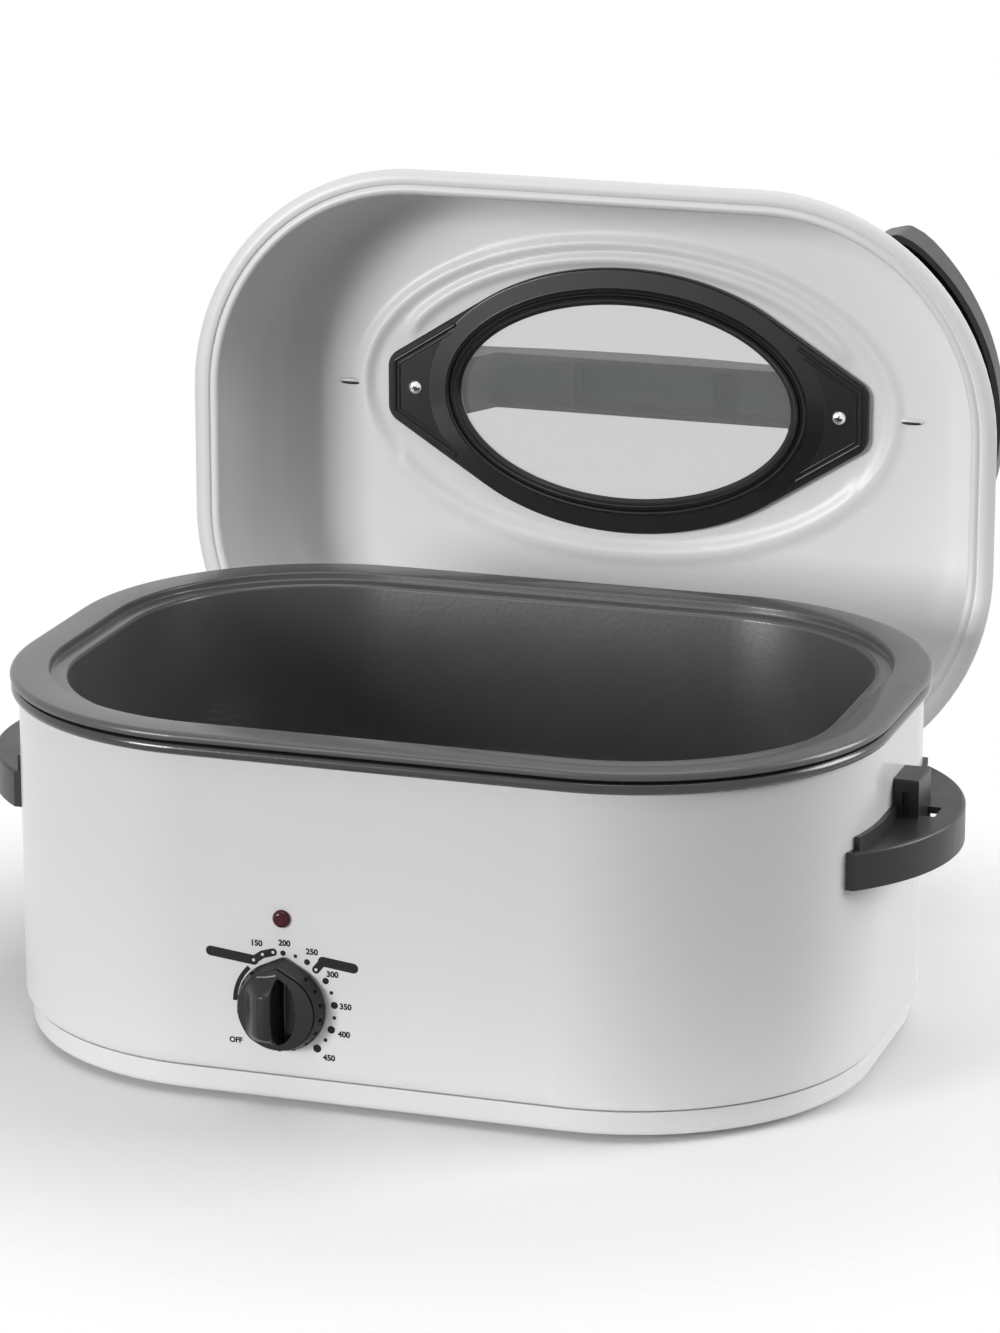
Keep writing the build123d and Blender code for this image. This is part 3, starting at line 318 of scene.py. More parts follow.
# ---------------------------------------------------------------- roasting pan
# One deep drawn steel pan, enamelled dark grey, that rests on the ring by its rim: a rolled edge, a broad
# flat rim, a step, a ledge, a tapered well and a floor with a low raised panel.
grey_enamel = Finish("grey_enamel", (0.07, 0.071, 0.074), 0.3, Specular_IOR_Level=0.55, Coat_Weight=0.25)
fleck = grey_enamel.add("ShaderNodeTexVoronoi", None, {"Vector": grey_enamel.place, "Scale": 900})
grey_enamel.set(
    Base_Color=grey_enamel.blend(0.12 * (1 - fleck).above(0.82), (0.068, 0.069, 0.072), (0.3, 0.3, 0.31)),
    Roughness=0.29 + 0.12 * grey_enamel.mottle(22),
)
grey_enamel.relief(grey_enamel.mottle(300, 3), 0.00008)
pan_top = pan_high.z
pan_floor = pan_low.z + 0.0012
ledge_top = pan_top - 0.005
ledge_in = 0.0335
wall_slope = tan(radians(3))
pan_profile = [(0.0040, ring_high.z + 0.0004), (0.0014, ring_high.z + 0.0006)]
pan_profile += bow(0.0030, pan_top - 0.0030, 0.0030, 200, 90, 10)
pan_profile += [(0.012, pan_top)]
pan_profile += bow(0.0215, pan_top - 0.0014, 0.0014, 90, 4, 5)
pan_profile += bow(0.0243, ledge_top + 0.0013, 0.0013, 184, 270, 4)
pan_profile += [(0.028, ledge_top)]
pan_profile += bow(ledge_in - 0.0022, ledge_top - 0.0022, 0.0022, 90, 4, 5)
floor_round = 0.0228
wall_foot = ledge_in + wall_slope * (ledge_top - pan_floor)
pan_profile += [(ledge_in + wall_slope * (ledge_top - z), z) for z in (0.16, 0.12, 0.09)]
pan_profile += bow(wall_foot + floor_round, pan_floor + floor_round, floor_round, 183, 270, 10)
panel_rise = 0.0012
panel_top = pan_floor + panel_rise
pan_profile += [(wall_foot + 0.045, pan_floor)]
pan_profile += [(wall_foot + 0.050, panel_top), (wall_foot + 0.056, panel_top)]
bm = press_round(pan_profile, rim_half_width, rim_half_depth, rim_corner)
panel_edge = [e for e in bm.edges if e.is_boundary and max(v.co.z for v in e.verts) < panel_top + 0.001]
bmesh.ops.holes_fill(bm, edges=panel_edge)
pan = grown("roasting_pan_enamelled", faced_out(bm), "oven", grey_enamel)
pan_wall = pan.modifiers.new("steel", "SOLIDIFY")
pan_wall.thickness = 0.0011
pan_wall.offset = -1
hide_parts("roasting_pan")

# ---------------------------------------------------------------- roasting rack
# Round wire, welded and chrome plated: a frame with a grid across it, and two bails to lift it by.  It
# stands loose in the pan.
bright_wire = Finish("bright_wire", (0.78, 0.78, 0.79), 0.16, Metallic=1)
bright_wire.set(Roughness=0.1 + 0.16 * bright_wire.mottle(120))
bright_wire.relief(bright_wire.mottle(500, 3), 0.00003)
bright_wire.coat(nodes["rack_frame"], nodes["rack_grid"])

# ---------------------------------------------------------------- control knob
# Moulded black phenolic: a bevelled skirt drawn out to a pointer, an upright fin to turn it by, and a
# deep scoop for a finger along one side of the fin.
black_plastic = Finish("black_plastic", (0.014, 0.014, 0.015), 0.42, Specular_IOR_Level=0.4)
black_plastic.set(
    Base_Color=black_plastic.blend(black_plastic.mottle(60), (0.012, 0.012, 0.0125), (0.02, 0.02, 0.0205)),
    Roughness=0.29 + 0.14 * black_plastic.mottle(45),
)
black_plastic.relief(black_plastic.mottle(1500, 2), 0.00002)
black_plastic.coat(nodes["cord_gland"])
# The same phenolic, polished by its mould: the knob and the window's frame.
polished_black = Finish(
    "polished_black",
    (0.009, 0.009, 0.0095),
    0.3,
    Specular_IOR_Level=0.28,
    Coat_Weight=0.25,
    Coat_Roughness=0.12,
)
polished_black.set(Roughness=0.29 + 0.1 * polished_black.mottle(60))
polished_black.relief(polished_black.mottle(1500, 2), 0.00001)
shaft_low, shaft_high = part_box("thermostat_shaft")
housing_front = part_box("housing")[0].y
dial_centre = Vector(((shaft_low.x + shaft_high.x) / 2, housing_front, (shaft_low.z + shaft_high.z) / 2))
knob_gap = 0.001
knob_radius = 0.026
cap_radius = 0.0224
cap_height = 0.0112
cap_crown = 0.0012
pointer_turn = radians(88)
pointer_spread = radians(27)
fin_x = -0.0030
fin_half_width = 0.0050
fin_half_length = 0.0205
fin_rise = 0.0118
fin_back = 0.0160
fin_back_run = 0.0122
fin_side_run = 0.0016
fin_end_run = 0.0085
fin_flare = 0.0012
fin_round = 0.14
scoop_half_length = 0.0185
scoop_width = 0.0100
scoop_depth = 0.0085
scoop_under = 0.0006
scoop_side_run = 0.0010
scoop_rim_run = 0.0012
knob_place = Matrix.Translation(dial_centre + Vector((0, -knob_gap, 0))) @ Matrix.Rotation(pi / 2, 4, "X")


def ease(value):
    """0 below 0, 1 above 1, and a smooth step between."""
    value = min(max(value, 0), 1)
    return value * value * (3 - 2 * value)


def drawn_out(x, y):
    """How much further out the pointer pulls the knob's edge in this direction."""
    turn = abs((atan2(y, x) - pointer_turn + pi) % (2 * pi) - pi)
    return 1 / cos(pointer_spread - turn) if turn < pointer_spread else 1


def cap_at(x, y):
    """The height of the knob's moulded cap over its back, where each wall rises over the run given for it."""
    level = cap_height + cap_crown * (1 - (x * x + y * y) / cap_radius**2)
    fin = ease((x - fin_x + fin_back) / fin_back_run) * ease((fin_x + fin_half_width - x) / fin_side_run)
    fin *= ease((fin_half_length + fin_flare * x / cap_radius - abs(y)) / fin_end_run)
    crown = 1 - fin_round * min(abs(x - fin_x) / fin_half_width, 1) ** 2
    reach = scoop_width * max(0, 1 - (y / scoop_half_length) ** 2) ** 0.5
    scoop = ease((x - fin_x - fin_half_width + scoop_under) / scoop_side_run)
    scoop *= ease((fin_x + fin_half_width + reach - x) / scoop_rim_run)
    return level + fin_rise * fin * crown - scoop_depth * scoop * (reach > 0)


bm = bmesh.new()
skirt = [(0.0, 0.0010), (knob_radius - 0.0006, 0.0), (knob_radius, 0.0006), (knob_radius, 0.0014)]
skirt += [(knob_radius - 0.0005, 0.0022), (cap_radius + 0.0008, cap_height - 0.0016)]
skirt += [(cap_radius + 0.0004, cap_height - 0.0012), (cap_radius + 0.0002, cap_height - 0.0016)]
skirt += [(cap_radius, cap_height - 0.0016), (cap_radius, cap_height - 0.0004)]
ring = [bm.verts.new((r, 0, h)) for r, h in skirt]
side = [bm.edges.new(pair) for pair in zip(ring, ring[1:])]
bmesh.ops.spin(
    bm, geom=ring + side, cent=(0, 0, 0), axis=(0, 0, 1), angle=2 * pi, steps=144, use_merge=True
)
bmesh.ops.remove_doubles(bm, verts=bm.verts, dist=1e-6)
cap = bmesh.ops.create_grid(bm, x_segments=124, y_segments=90, size=1)["verts"]
for v in cap:
    x = cap_radius * sin(v.co.x * pi / 2)
    y = v.co.y * (cap_radius**2 - x * x) ** 0.5
    v.co = (x, y, cap_at(x, y))
bmesh.ops.remove_doubles(bm, verts=cap, dist=1e-6)
for v in bm.verts:
    pull = drawn_out(v.co.x, v.co.y)
    reach = hypot(v.co.x, v.co.y) / cap_radius
    pull = 1 + (pull - 1) * ease(reach**4)
    v.co.x *= pull
    v.co.y *= pull
bmesh.ops.recalc_face_normals(bm, faces=bm.faces)
bmesh.ops.transform(bm, matrix=knob_place, verts=bm.verts)
knob = grown("control_knob_moulded", bm, "knob", polished_black, smooth=55)
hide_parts("control_knob")

# ---------------------------------------------------------------- thermostat shaft
# The thermostat's spindle, turned in steel and plated, with the knob pushed on to its end.  One flat
# along it keeps the knob from slipping round.
plated_steel = Finish("plated_steel", (0.5, 0.5, 0.51), 0.35, Metallic=1)
plated_steel.set(
    Base_Color=plated_steel.blend(plated_steel.mottle(40), (0.44, 0.44, 0.45), (0.58, 0.58, 0.58)),
    Roughness=0.28 + 0.2 * plated_steel.mottle(90),
)
plated_steel.relief(plated_steel.mottle(800, 2, (1, 1, 0.1)), 0.00003)
shaft_flat = 0.0010
shaft_radius = (shaft_high.x - shaft_low.x) / 2
shaft_length = shaft_high.y - shaft_low.y
along = Matrix.Translation((shaft_low + shaft_high) / 2) @ Matrix.Rotation(pi / 2, 4, "X")
bm = bmesh.new()
bmesh.ops.create_cone(
    bm,
    cap_ends=True,
    segments=48,
    radius1=shaft_radius,
    radius2=shaft_radius,
    depth=shaft_length,
    matrix=along,
)
cut = bmesh.ops.bisect_plane(
    bm,
    geom=bm.verts[:] + bm.edges[:] + bm.faces[:],
    plane_co=(dial_centre.x + shaft_flat, 0, 0),
    plane_no=(1, 0, 0),
    clear_outer=True,
)["geom_cut"]
bmesh.ops.contextual_create(bm, geom=[g for g in cut if isinstance(g, bmesh.types.BMEdge)])
shaft = grown("thermostat_shaft_flatted", faced_out(bm), "knob", plated_steel, smooth=40)
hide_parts("thermostat_shaft")

# ---------------------------------------------------------------- knob notches
# Small dents round the knob's bevel, for a grip.  Each is drawn as a flattened ball sunk in the bevel, dull
# and darker
# than the moulding round it: painted shade for the dent's hollow.
painted_notch_shade = Finish("painted_notch_shade", (0.003, 0.003, 0.003), 0.6, Specular_IOR_Level=0.1)
painted_notch_shade.set(Roughness=0.5 + 0.2 * painted_notch_shade.mottle(400))
notches = 18
notch_out, notch_height = 0.0248, 0.0048
bevel_lean = radians(71)
notch_shape = Matrix.Rotation(bevel_lean, 4, "Y") @ Matrix.Diagonal((0.0015, 0.0012, 0.0006, 1))
bm = bmesh.new()
for k in range(notches):
    turn = 2 * pi * (k + 0.5) / notches
    if abs(turn - pointer_turn) < pointer_spread:
        continue
    place = Matrix.Rotation(turn, 4, "Z") @ Matrix.Translation((notch_out, 0, notch_height)) @ notch_shape
    bmesh.ops.create_uvsphere(bm, u_segments=16, v_segments=8, radius=1, matrix=knob_place @ place)
grown("knob_notches_painted_shade", bm, "knob", painted_notch_shade, smooth=60)

# ---------------------------------------------------------------- indicator lens
# A dome on a stem, moulded in clear dark red plastic and set in the housing in front of the lamp.  The
# lamp is off, so it looks nearly black.
red_lens = Finish("red_lens", (0.05, 0.001, 0.006), 0.12, Coat_Weight=0.1, Specular_IOR_Level=0.22)
red_lens.set(Base_Color=red_lens.blend(red_lens.mottle(500), (0.035, 0.001, 0.005), (0.09, 0.002, 0.010)))
red_lens.coat(nodes["indicator_lens"])

# ---------------------------------------------------------------- dial print
# Black ink printed on the housing round the knob: a dot for each step, the numbers beside them, a heating
# arc, and two bare flags with small white windows.
black_ink = Finish("black_ink", (0.012, 0.012, 0.012), 0.5, Specular_IOR_Level=0.2)
black_ink.set(Roughness=0.42 + 0.2 * black_ink.mottle(300))
white_ink = Finish("white_ink", (0.78, 0.78, 0.78), 0.5)
white_ink.set(Roughness=0.42 + 0.2 * white_ink.mottle(300))
ink_film = 0.00008
ink_step = 1.3 * ink_film
dial_radius = 0.0308
dial_first, dial_last, dial_step = 200, 450, 25
dial_start = radians(1)
dial_turn = radians(0.552)
whole_dot, dot_growth = 0.0016, 0.0000032
half_dot = 0.0011
number_size = 0.0047
off_size = 0.0044
number_weight = 0.0002
number_places = (
    (150, -0.0152, 0.0350),
    (200, 0.0014, 0.0366),
    (250, 0.0176, 0.0332),
    (300, 0.0296, 0.0212),
    (350, 0.0372, 0.0030),
    (400, 0.0362, -0.0134),
    (450, 0.0272, -0.0282),
)
off_place = (-0.0282, -0.0236)
flag_half_width = 0.0029
neck_half_width = 0.0023
flag_window = 0.0009
left_end = (-0.0425, 0.0278)
left_windows = ((-0.0170, 0.0250), (-0.0117, 0.0288), (-0.0054, 0.0307))
right_window = (0.0200, 0.0232)
right_bend = (0.0241, 0.0283)
right_end = (0.0420, 0.0262)


def on_dial(x, z, film):
    """The transform that lays a flat XY drawing on the housing's front at a place measured from the knob."""
    return Matrix.Translation(dial_centre + Vector((x, -film, z))) @ Matrix.Rotation(pi / 2, 4, "X")


def dot(bm, x, z, radius, film=ink_film):
    bmesh.ops.create_circle(bm, cap_ends=True, segments=28, radius=radius, matrix=on_dial(x, z, film))


def flag(bm, start, end, radius, film=ink_film):
    """A round-ended bar, drawn as a dot pulled out from its start to its end."""
    pull = Vector((end[0] - start[0], 0, end[1] - start[1]))
    disc = bmesh.ops.create_circle(
        bm, cap_ends=True, segments=28, radius=radius, matrix=on_dial(*start, film)
    )["verts"]
    centre = dial_centre + Vector((start[0], -film, start[1]))
    bmesh.ops.translate(bm, verts=[v for v in disc if (v.co - centre).dot(pull) > 1e-9], vec=pull)


def letter(bm, words, x, z, size=number_size):
    """Printed figures, level, centred on a place."""
    text = bpy.data.curves.new("figures", "FONT")
    text.body = words
    text.size = size
    text.align_x = "CENTER"
    text.align_y = "CENTER"
    text.offset = number_weight
    setting = bpy.data.objects.new("figures", text)
    mesh = bpy.data.meshes.new_from_object(setting)
    mesh.transform(on_dial(x, z, ink_film))
    bm.from_mesh(mesh)
    bpy.data.meshes.remove(mesh)
    bpy.data.objects.remove(setting)
    bpy.data.curves.remove(text)


def dial_place(heat):
    """Where a temperature stands on the dial."""
    turn = dial_start + (heat - dial_first) * dial_turn
    return dial_radius * sin(turn), dial_radius * cos(turn)


bm = bmesh.new()
for heat in range(dial_first, dial_last + 1, dial_step):
    if heat % 50 == 0:
        dot(bm, *dial_place(heat), whole_dot + dot_growth * (heat - dial_first))
    elif heat != 275:  # a flag's window stands there
        dot(bm, *dial_place(heat), half_dot)
for heat, x, z in number_places:
    letter(bm, str(heat), x, z)
letter(bm, "OFF", *off_place, off_size)
flag(bm, left_end, left_windows[0], flag_half_width)
flag(bm, left_windows[0], left_windows[1], neck_half_width, ink_step)
flag(bm, left_windows[1], left_windows[2], neck_half_width)
flag(bm, right_window, right_bend, neck_half_width)
flag(bm, right_bend, right_end, flag_half_width, ink_step)
grown("dial_print", bm, "oven", black_ink)
bm = bmesh.new()
for place in (*left_windows, right_window):
    dot(bm, *place, flag_window, 2 * ink_film)
grown("dial_print_windows", bm, "oven", white_ink)
arc_start = radians(44)
arc_length = radians(46)
arc_edges = (0.0270, 0.0296)
bm = bmesh.new()
ends = [Vector((-r * sin(arc_start), -ink_film, r * cos(arc_start))) for r in arc_edges]
ends = [bm.verts.new(dial_centre + end) for end in ends]
stroke = bm.edges.new(ends)
bmesh.ops.spin(bm, geom=[stroke, *ends], cent=dial_centre, axis=(0, -1, 0), angle=arc_length, steps=24)
grown("dial_heat_arc", bm, "oven", black_ink)


# ---------------------------------------------------------------- side handles
# A black phenolic handle on each side, screwed on from inside the housing.  The mould rounds over its
# edges, so they shine along their length.
def eased(name, width, finish, segments=2, sharp=32):
    """A copy of a moulded or stamped node with its edges rounded over."""
    bm = bmesh.new()
    bm.from_mesh(nodes[name].data)
    bmesh.ops.remove_doubles(bm, verts=bm.verts, dist=1e-6)
    bmesh.ops.dissolve_limit(bm, angle_limit=radians(1.5), verts=bm.verts, edges=bm.edges)
    corners = [e for e in bm.edges if len(e.link_faces) == 2 and e.calc_face_angle(0) > radians(sharp)]
    bmesh.ops.bevel(
        bm,
        geom=corners,
        offset=width,
        offset_type="OFFSET",
        segments=segments,
        profile=0.5,
        affect="EDGES",
        clamp_overlap=True,
        material=-1,
    )
    piece = grown(name + "_eased", bm, nodes[name]["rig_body"], finish, smooth=50)
    settle = piece.modifiers.new("level", "WEIGHTED_NORMAL")
    settle.keep_sharp = True
    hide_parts(name)
    return piece


handle_round = 0.0007
for hand in ("left", "right"):
    eased("side_handle_" + hand, handle_round, black_plastic)

# ---------------------------------------------------------------- hinge, brackets and fasteners
# Brackets and links stamped in steel and zinc plated, and the screws, pins and rivets that hold them.
# The clips and stand-offs inside the body have the same plating.
plated_steel.coat(
    *[
        nodes[name]
        for name in (
            "hinge_bracket_left",
            "hinge_bracket_right",
            "hinge_link_left",
            "hinge_link_right",
            "lid_bracket_left",
            "lid_bracket_right",
            "lid_bracket_rivets",
            "lower_hinge_pins",
            "upper_hinge_pins",
            "hinge_bracket_screws",
            "foot_screws",
            "side_handle_screws",
            "thermostat_bracket",
            "thermostat_screws",
            "bulb_clip",
            "well_standoffs",
        )
    ]
)

# ---------------------------------------------------------------- feet and gasket
# Soft black rubber, slightly dusty: four moulded feet, screwed on under the body, and the flat ring that
# seals the window's pane against the roof.
rubber = Finish("rubber", (0.035, 0.035, 0.035), 0.75)
rubber.set(Roughness=0.65 + 0.25 * rubber.mottle(80))
rubber.relief(rubber.mottle(900), 0.00005)
rubber.coat(*[nodes["foot_" + place] for place in ("front_left", "front_right", "rear_left", "rear_right")])
rubber.coat(nodes["window_gasket"])

# ---------------------------------------------------------------- inside the body
# The aluminised steel well, its band heater and its glass wool, and the parts that switch and wire them.
# They are closed in by the housing and the base pan.
aluminised = Finish("aluminised", (0.6, 0.6, 0.6), 0.4, Metallic=1)
aluminised.set(Roughness=0.32 + 0.2 * aluminised.mottle(25))
aluminised.relief(aluminised.mottle(700, 2, (1, 1, 0.05)), 0.00003)
aluminised.coat(nodes["heating_well"])
heater_steel = Finish("heater_steel", (0.32, 0.3, 0.28), 0.45, Metallic=1)
heater_steel.set(
    Base_Color=heater_steel.blend(heater_steel.mottle(30), (0.26, 0.25, 0.25), (0.4, 0.36, 0.3)),
)
heater_steel.relief(heater_steel.mottle(300), 0.00004)
heater_steel.coat(nodes["heating_band"])
glass_wool = Finish("glass_wool", (0.78, 0.75, 0.64), 0.95)
wool = glass_wool.mottle(260, 5, (1, 1, 3))
glass_wool.set(Base_Color=glass_wool.blend(wool, (0.6, 0.57, 0.46), (0.85, 0.83, 0.74)))
glass_wool.relief(wool, 0.001)
glass_wool.coat(nodes["insulation_blanket"])
glazed_ceramic = Finish("glazed_ceramic", (0.78, 0.76, 0.7), 0.3)
glazed_ceramic.set(Roughness=0.24 + 0.2 * glazed_ceramic.mottle(70))
glazed_ceramic.relief(glazed_ceramic.mottle(400), 0.00004)
glazed_ceramic.coat(nodes["heater_terminals"])
tan_bakelite = Finish("tan_bakelite", (0.42, 0.39, 0.33), 0.5)
tan_bakelite.set(Roughness=0.42 + 0.2 * tan_bakelite.mottle(60))
tan_bakelite.relief(tan_bakelite.mottle(700), 0.00004)
tan_bakelite.coat(nodes["thermostat_body"], nodes["indicator_lamp"], nodes["terminal_block"])
copper = Finish("copper", (0.72, 0.4, 0.24), 0.3, Metallic=1)
copper.set(Roughness=0.24 + 0.2 * copper.mottle(90))
copper.relief(copper.mottle(500), 0.00003)
copper.coat(nodes["sensing_bulb"])
wire_sleeve = Finish("wire_sleeve", (0.7, 0.67, 0.58), 0.8)
braid = wire_sleeve.mottle(1200, 1, (1, 0.3, 1))
wire_sleeve.set(Base_Color=wire_sleeve.blend(braid, (0.55, 0.52, 0.44), (0.78, 0.76, 0.68)))
wire_sleeve.relief(braid, 0.0002)
wire_sleeve.coat(nodes["wiring_harness"])

# ---------------------------------------------------------------- lid shell
# Pressed steel, enamelled white inside and out: a flat flange, a groove, a bead that stiffens its mouth,
# a tapered wall, a cove, and ribs pressed into the roof round the window.
lid_low, lid_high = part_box("lid_shell")
lid_half_width = lid_high.x
lid_half_depth = (lid_high.z - lid_low.z) / 2
lid_corner = 0.147
lid_middle = (lid_high.z + lid_low.z) / 2
lid_place = Matrix.Translation((0, lid_low.y, lid_middle)) @ Matrix.Rotation(-pi / 2, 4, "X")
lid_sheet = 0.0012
roof_height = lid_high.y - lid_low.y - lid_sheet
window_shift = 0.030
lid_draft = radians(5)
lid_slope = tan(lid_draft)
cove = 0.0308
bead = 0.0030
bead_in = 0.0128
wall_start = 0.0152
cove_low = roof_height - cove * (1 - sin(lid_draft))
cove_in = wall_start + lid_slope * cove_low + cove * cos(lid_draft)
lid_profile = [(0, 0), (0.0088, 0), (0.0092, 0.0002), (0.0095, 0.0010), (0.0098, 0.0012)]
lid_profile += bow(bead_in, bead, bead, 215, 360, 10)
lid_profile += [(wall_start + 0.0012 + lid_slope * h, h) for h in (0.006, 0.012)]
lid_profile += [(wall_start + lid_slope * h, h) for h in (0.024, 0.040)]
lid_profile += bow(cove_in, roof_height - cove, cove, 175, 90, 16)
bm = press_round(lid_profile, lid_half_width, lid_half_depth, lid_corner)
mouth = [e for e in bm.edges if e.is_boundary and min(v.co.z for v in e.verts) > roof_height - 0.001]
opening_half_width = 0.108
opening_half_height = 0.062
setback = 0.002
roof_steps = 40


def oval(bm, half_width, half_height, height, turns):
    """A level oval of verts in the lid, centred on the window, one at each turn."""
    return [bm.verts.new((half_width * cos(t), half_height * sin(t) - window_shift, height)) for t in turns]


def strip(bm, first, second):
    """Faces between two rings of verts that run the same way round, and the edges that join the rings."""
    for k in range(len(first)):
        bm.faces.new((first[k - 1], first[k], second[k], second[k - 1]))
    return [bm.edges.get(pair) for pair in zip(first, second)]


def turn_of(v):
    """Where a vert stands round an oval of the window's proportions."""
    return atan2((v.co.y + window_shift) / opening_half_height, v.co.x / opening_half_width)


mouth = sorted({v for e in mouth for v in e.verts}, key=turn_of)
turns = [turn_of(v) for v in mouth]
inner = oval(bm, opening_half_width + setback, opening_half_height + setback, roof_height, turns)
bmesh.ops.subdivide_edges(bm, edges=strip(bm, mouth, inner), cuts=roof_steps, use_grid_fill=True)
rib_half_width = 0.0070
rib_rise = 0.0032
# Each rib: its oval's half width and height, how far out it runs, and its side (0 round, 1 above, -1 below).
ribs = ((0.174, 0.1005, 0.174, 0), (0.157, 0.0905, 0.140, 1), (0.172, 0.0975, 0.150, -1))


def rib_at(x, y):
    """How far the pressed ribs stand out of the roof at a place measured from the window's middle."""
    rise = 0
    for a, b, reach, side in ribs:
        if side and (y * side <= 0 or abs(x) >= reach + rib_half_width):
            continue
        ring = hypot(x / a, y / b)
        away = (ring - 1) * ring / hypot(x / a**2, y / b**2)
        if side and abs(x) > reach:
            away = hypot(abs(x) - reach, abs(y) - b * (1 - (reach / a) ** 2) ** 0.5)
        if abs(away) < rib_half_width:
            rise = max(rise, rib_rise * (0.5 + 0.5 * cos(pi * away / rib_half_width)))
    return rise


for v in bm.verts:
    if v.co.z > roof_height - 0.0001:
        v.co.z -= rib_at(v.co.x, -(v.co.y + window_shift))
bmesh.ops.transform(bm, matrix=lid_place, verts=bm.verts)
bmesh.ops.recalc_face_normals(bm, faces=bm.faces)
# The sheet thickens away from its faces' normals, so they have to look into the lid.
if sum(f.normal.y * f.calc_area() for f in bm.faces) > 0:
    bmesh.ops.reverse_faces(bm, faces=bm.faces)
# The lid's white is the body's enamel made lighter: the extra lightness is painted light for the lid's shaded
# hollow.
lid_enamel_painted_light = Finish("lid_enamel_painted_light", (0.88, 0.88, 0.88), 0.4, Coat_Weight=0.2, Coat_Roughness=0.25)
clouds = 0.2 + 0.6 * lid_enamel_painted_light.mottle(9)
lid_enamel_painted_light.set(
    Base_Color=lid_enamel_painted_light.blend(clouds, (0.865, 0.865, 0.868), (0.895, 0.895, 0.893)),
    Roughness=0.36 + 0.12 * lid_enamel_painted_light.mottle(14),
)
lid_enamel_painted_light.relief(lid_enamel_painted_light.mottle(420, 3), 0.00006)
lid = grown("lid_shell_pressed", bm, "lid", lid_enamel_painted_light, smooth=60)
lid_thickness = lid.modifiers.new("steel", "SOLIDIFY")
lid_thickness.thickness = lid_sheet
lid_thickness.offset = -1
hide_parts("lid_shell")

# ---------------------------------------------------------------- window pane
# A clear oval of tempered glass with its sharp edge ground off all round.  The frame holds it against the
# roof, inside the lid.
# The pane is a grey film that lets part of the scene through: the see-through part is the clear glass, the
# grey is a painted reflection, the veil its faces reflect.
clear_glass = Finish("clear_glass", (0.42, 0.43, 0.43), 0.05, Alpha=0.3, Specular_IOR_Level=0.5)
clear_glass.set(Roughness=0.03 + 0.04 * clear_glass.mottle(12))
pane_low, pane_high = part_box("window_glass")
pane_half_width = pane_high.x
pane_half_height = (pane_high.z - pane_low.z) / 2
pane_ground = 0.0006
pane_faces = (pane_low.y, pane_low.y + pane_ground, pane_high.y - pane_ground, pane_high.y)
window_steps = 144
window_turns = [2 * pi * k / window_steps for k in range(window_steps)]
bm = bmesh.new()
rims = [
    oval(bm, pane_half_width - inset, pane_half_height - inset, face - lid_low.y, window_turns)
    for inset, face in zip((pane_ground, 0, 0, pane_ground), pane_faces)
]
for first, second in zip(rims, rims[1:]):
    strip(bm, first, second)
bmesh.ops.holes_fill(bm, edges=[e for e in bm.edges if e.is_boundary])
bmesh.ops.recalc_face_normals(bm, faces=bm.faces)
bmesh.ops.transform(bm, matrix=lid_place, verts=bm.verts)
pane = grown("window_glass_pane", bm, "lid", clear_glass, smooth=30)
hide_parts("window_glass")

# ---------------------------------------------------------------- window frame
# One black phenolic moulding: a flat band round the opening with two beads at its edge, and two tapered
# tabs level with the band, for the screws.  The band's profile of (outset, rise) runs from its outer edge
# over the beads to its back.
frame_profile = [
    (0.0230, 0.0), (0.0230, -0.0040), (0.0227, -0.0048), (0.0221, -0.0052), (0.0215, -0.0053),
    (0.0114, -0.0053), (0.0108, -0.0054), (0.0103, -0.0062), (0.0096, -0.0073), (0.0088, -0.0077),
    (0.0080, -0.0073), (0.0074, -0.0062), (0.0069, -0.0057), (0.0064, -0.0057), (0.0059, -0.0064),
    (0.0052, -0.0083), (0.0044, -0.0088), (0.0036, -0.0083), (0.0028, -0.0068), (0.0021, -0.0060),
    (0.0007, -0.0056), (0.0, -0.0049), (0.0144, -0.0049), (0.0144, 0.0),
]
bm = bmesh.new()
loops = [
    oval(bm, opening_half_width + outset, opening_half_height + outset, roof_height + rise, window_turns)
    for outset, rise in frame_profile
]
for first, second in zip(loops, loops[1:] + loops[:1]):
    strip(bm, first, second)
bmesh.ops.recalc_face_normals(bm, faces=bm.faces)
bmesh.ops.transform(bm, matrix=lid_place, verts=bm.verts)

# A tab leaves the band along two tangents, from the turn called root to two rounded corners at its tip.
# A ridge, with a finer one inside it, follows its three outer sides.  Each ridge is given by its inset
# from them, the run of its two slanting ends, and its radius.
band_half_width = opening_half_width + frame_profile[0][0]
band_half_height = opening_half_height + frame_profile[0][0]
root = radians(45.4)
root_x, root_y = band_half_width * cos(root), band_half_height * sin(root)
tip_x, tip_y = 0.1570, 0.0190
tip_round = 0.006
tab_sunk = 0.006
tab_face = roof_height - 0.0051
tab_edge = 0.0008
ridges = ((0.0046, 0.0400, 0.0013), (0.0076, 0.0340, 0.0007))
lean = Vector((root_y - tip_y, tip_x - root_x)).normalized()
tab_outline = [(root_x, root_y), (tip_x, tip_y), (tip_x, -tip_y), (root_x, -root_y)]
tab_outline += [
    ((band_half_width - tab_sunk) * cos(t), (band_half_height - tab_sunk) * sin(t))
    for t in (radians(-45 + 9 * k) for k in range(11))
]
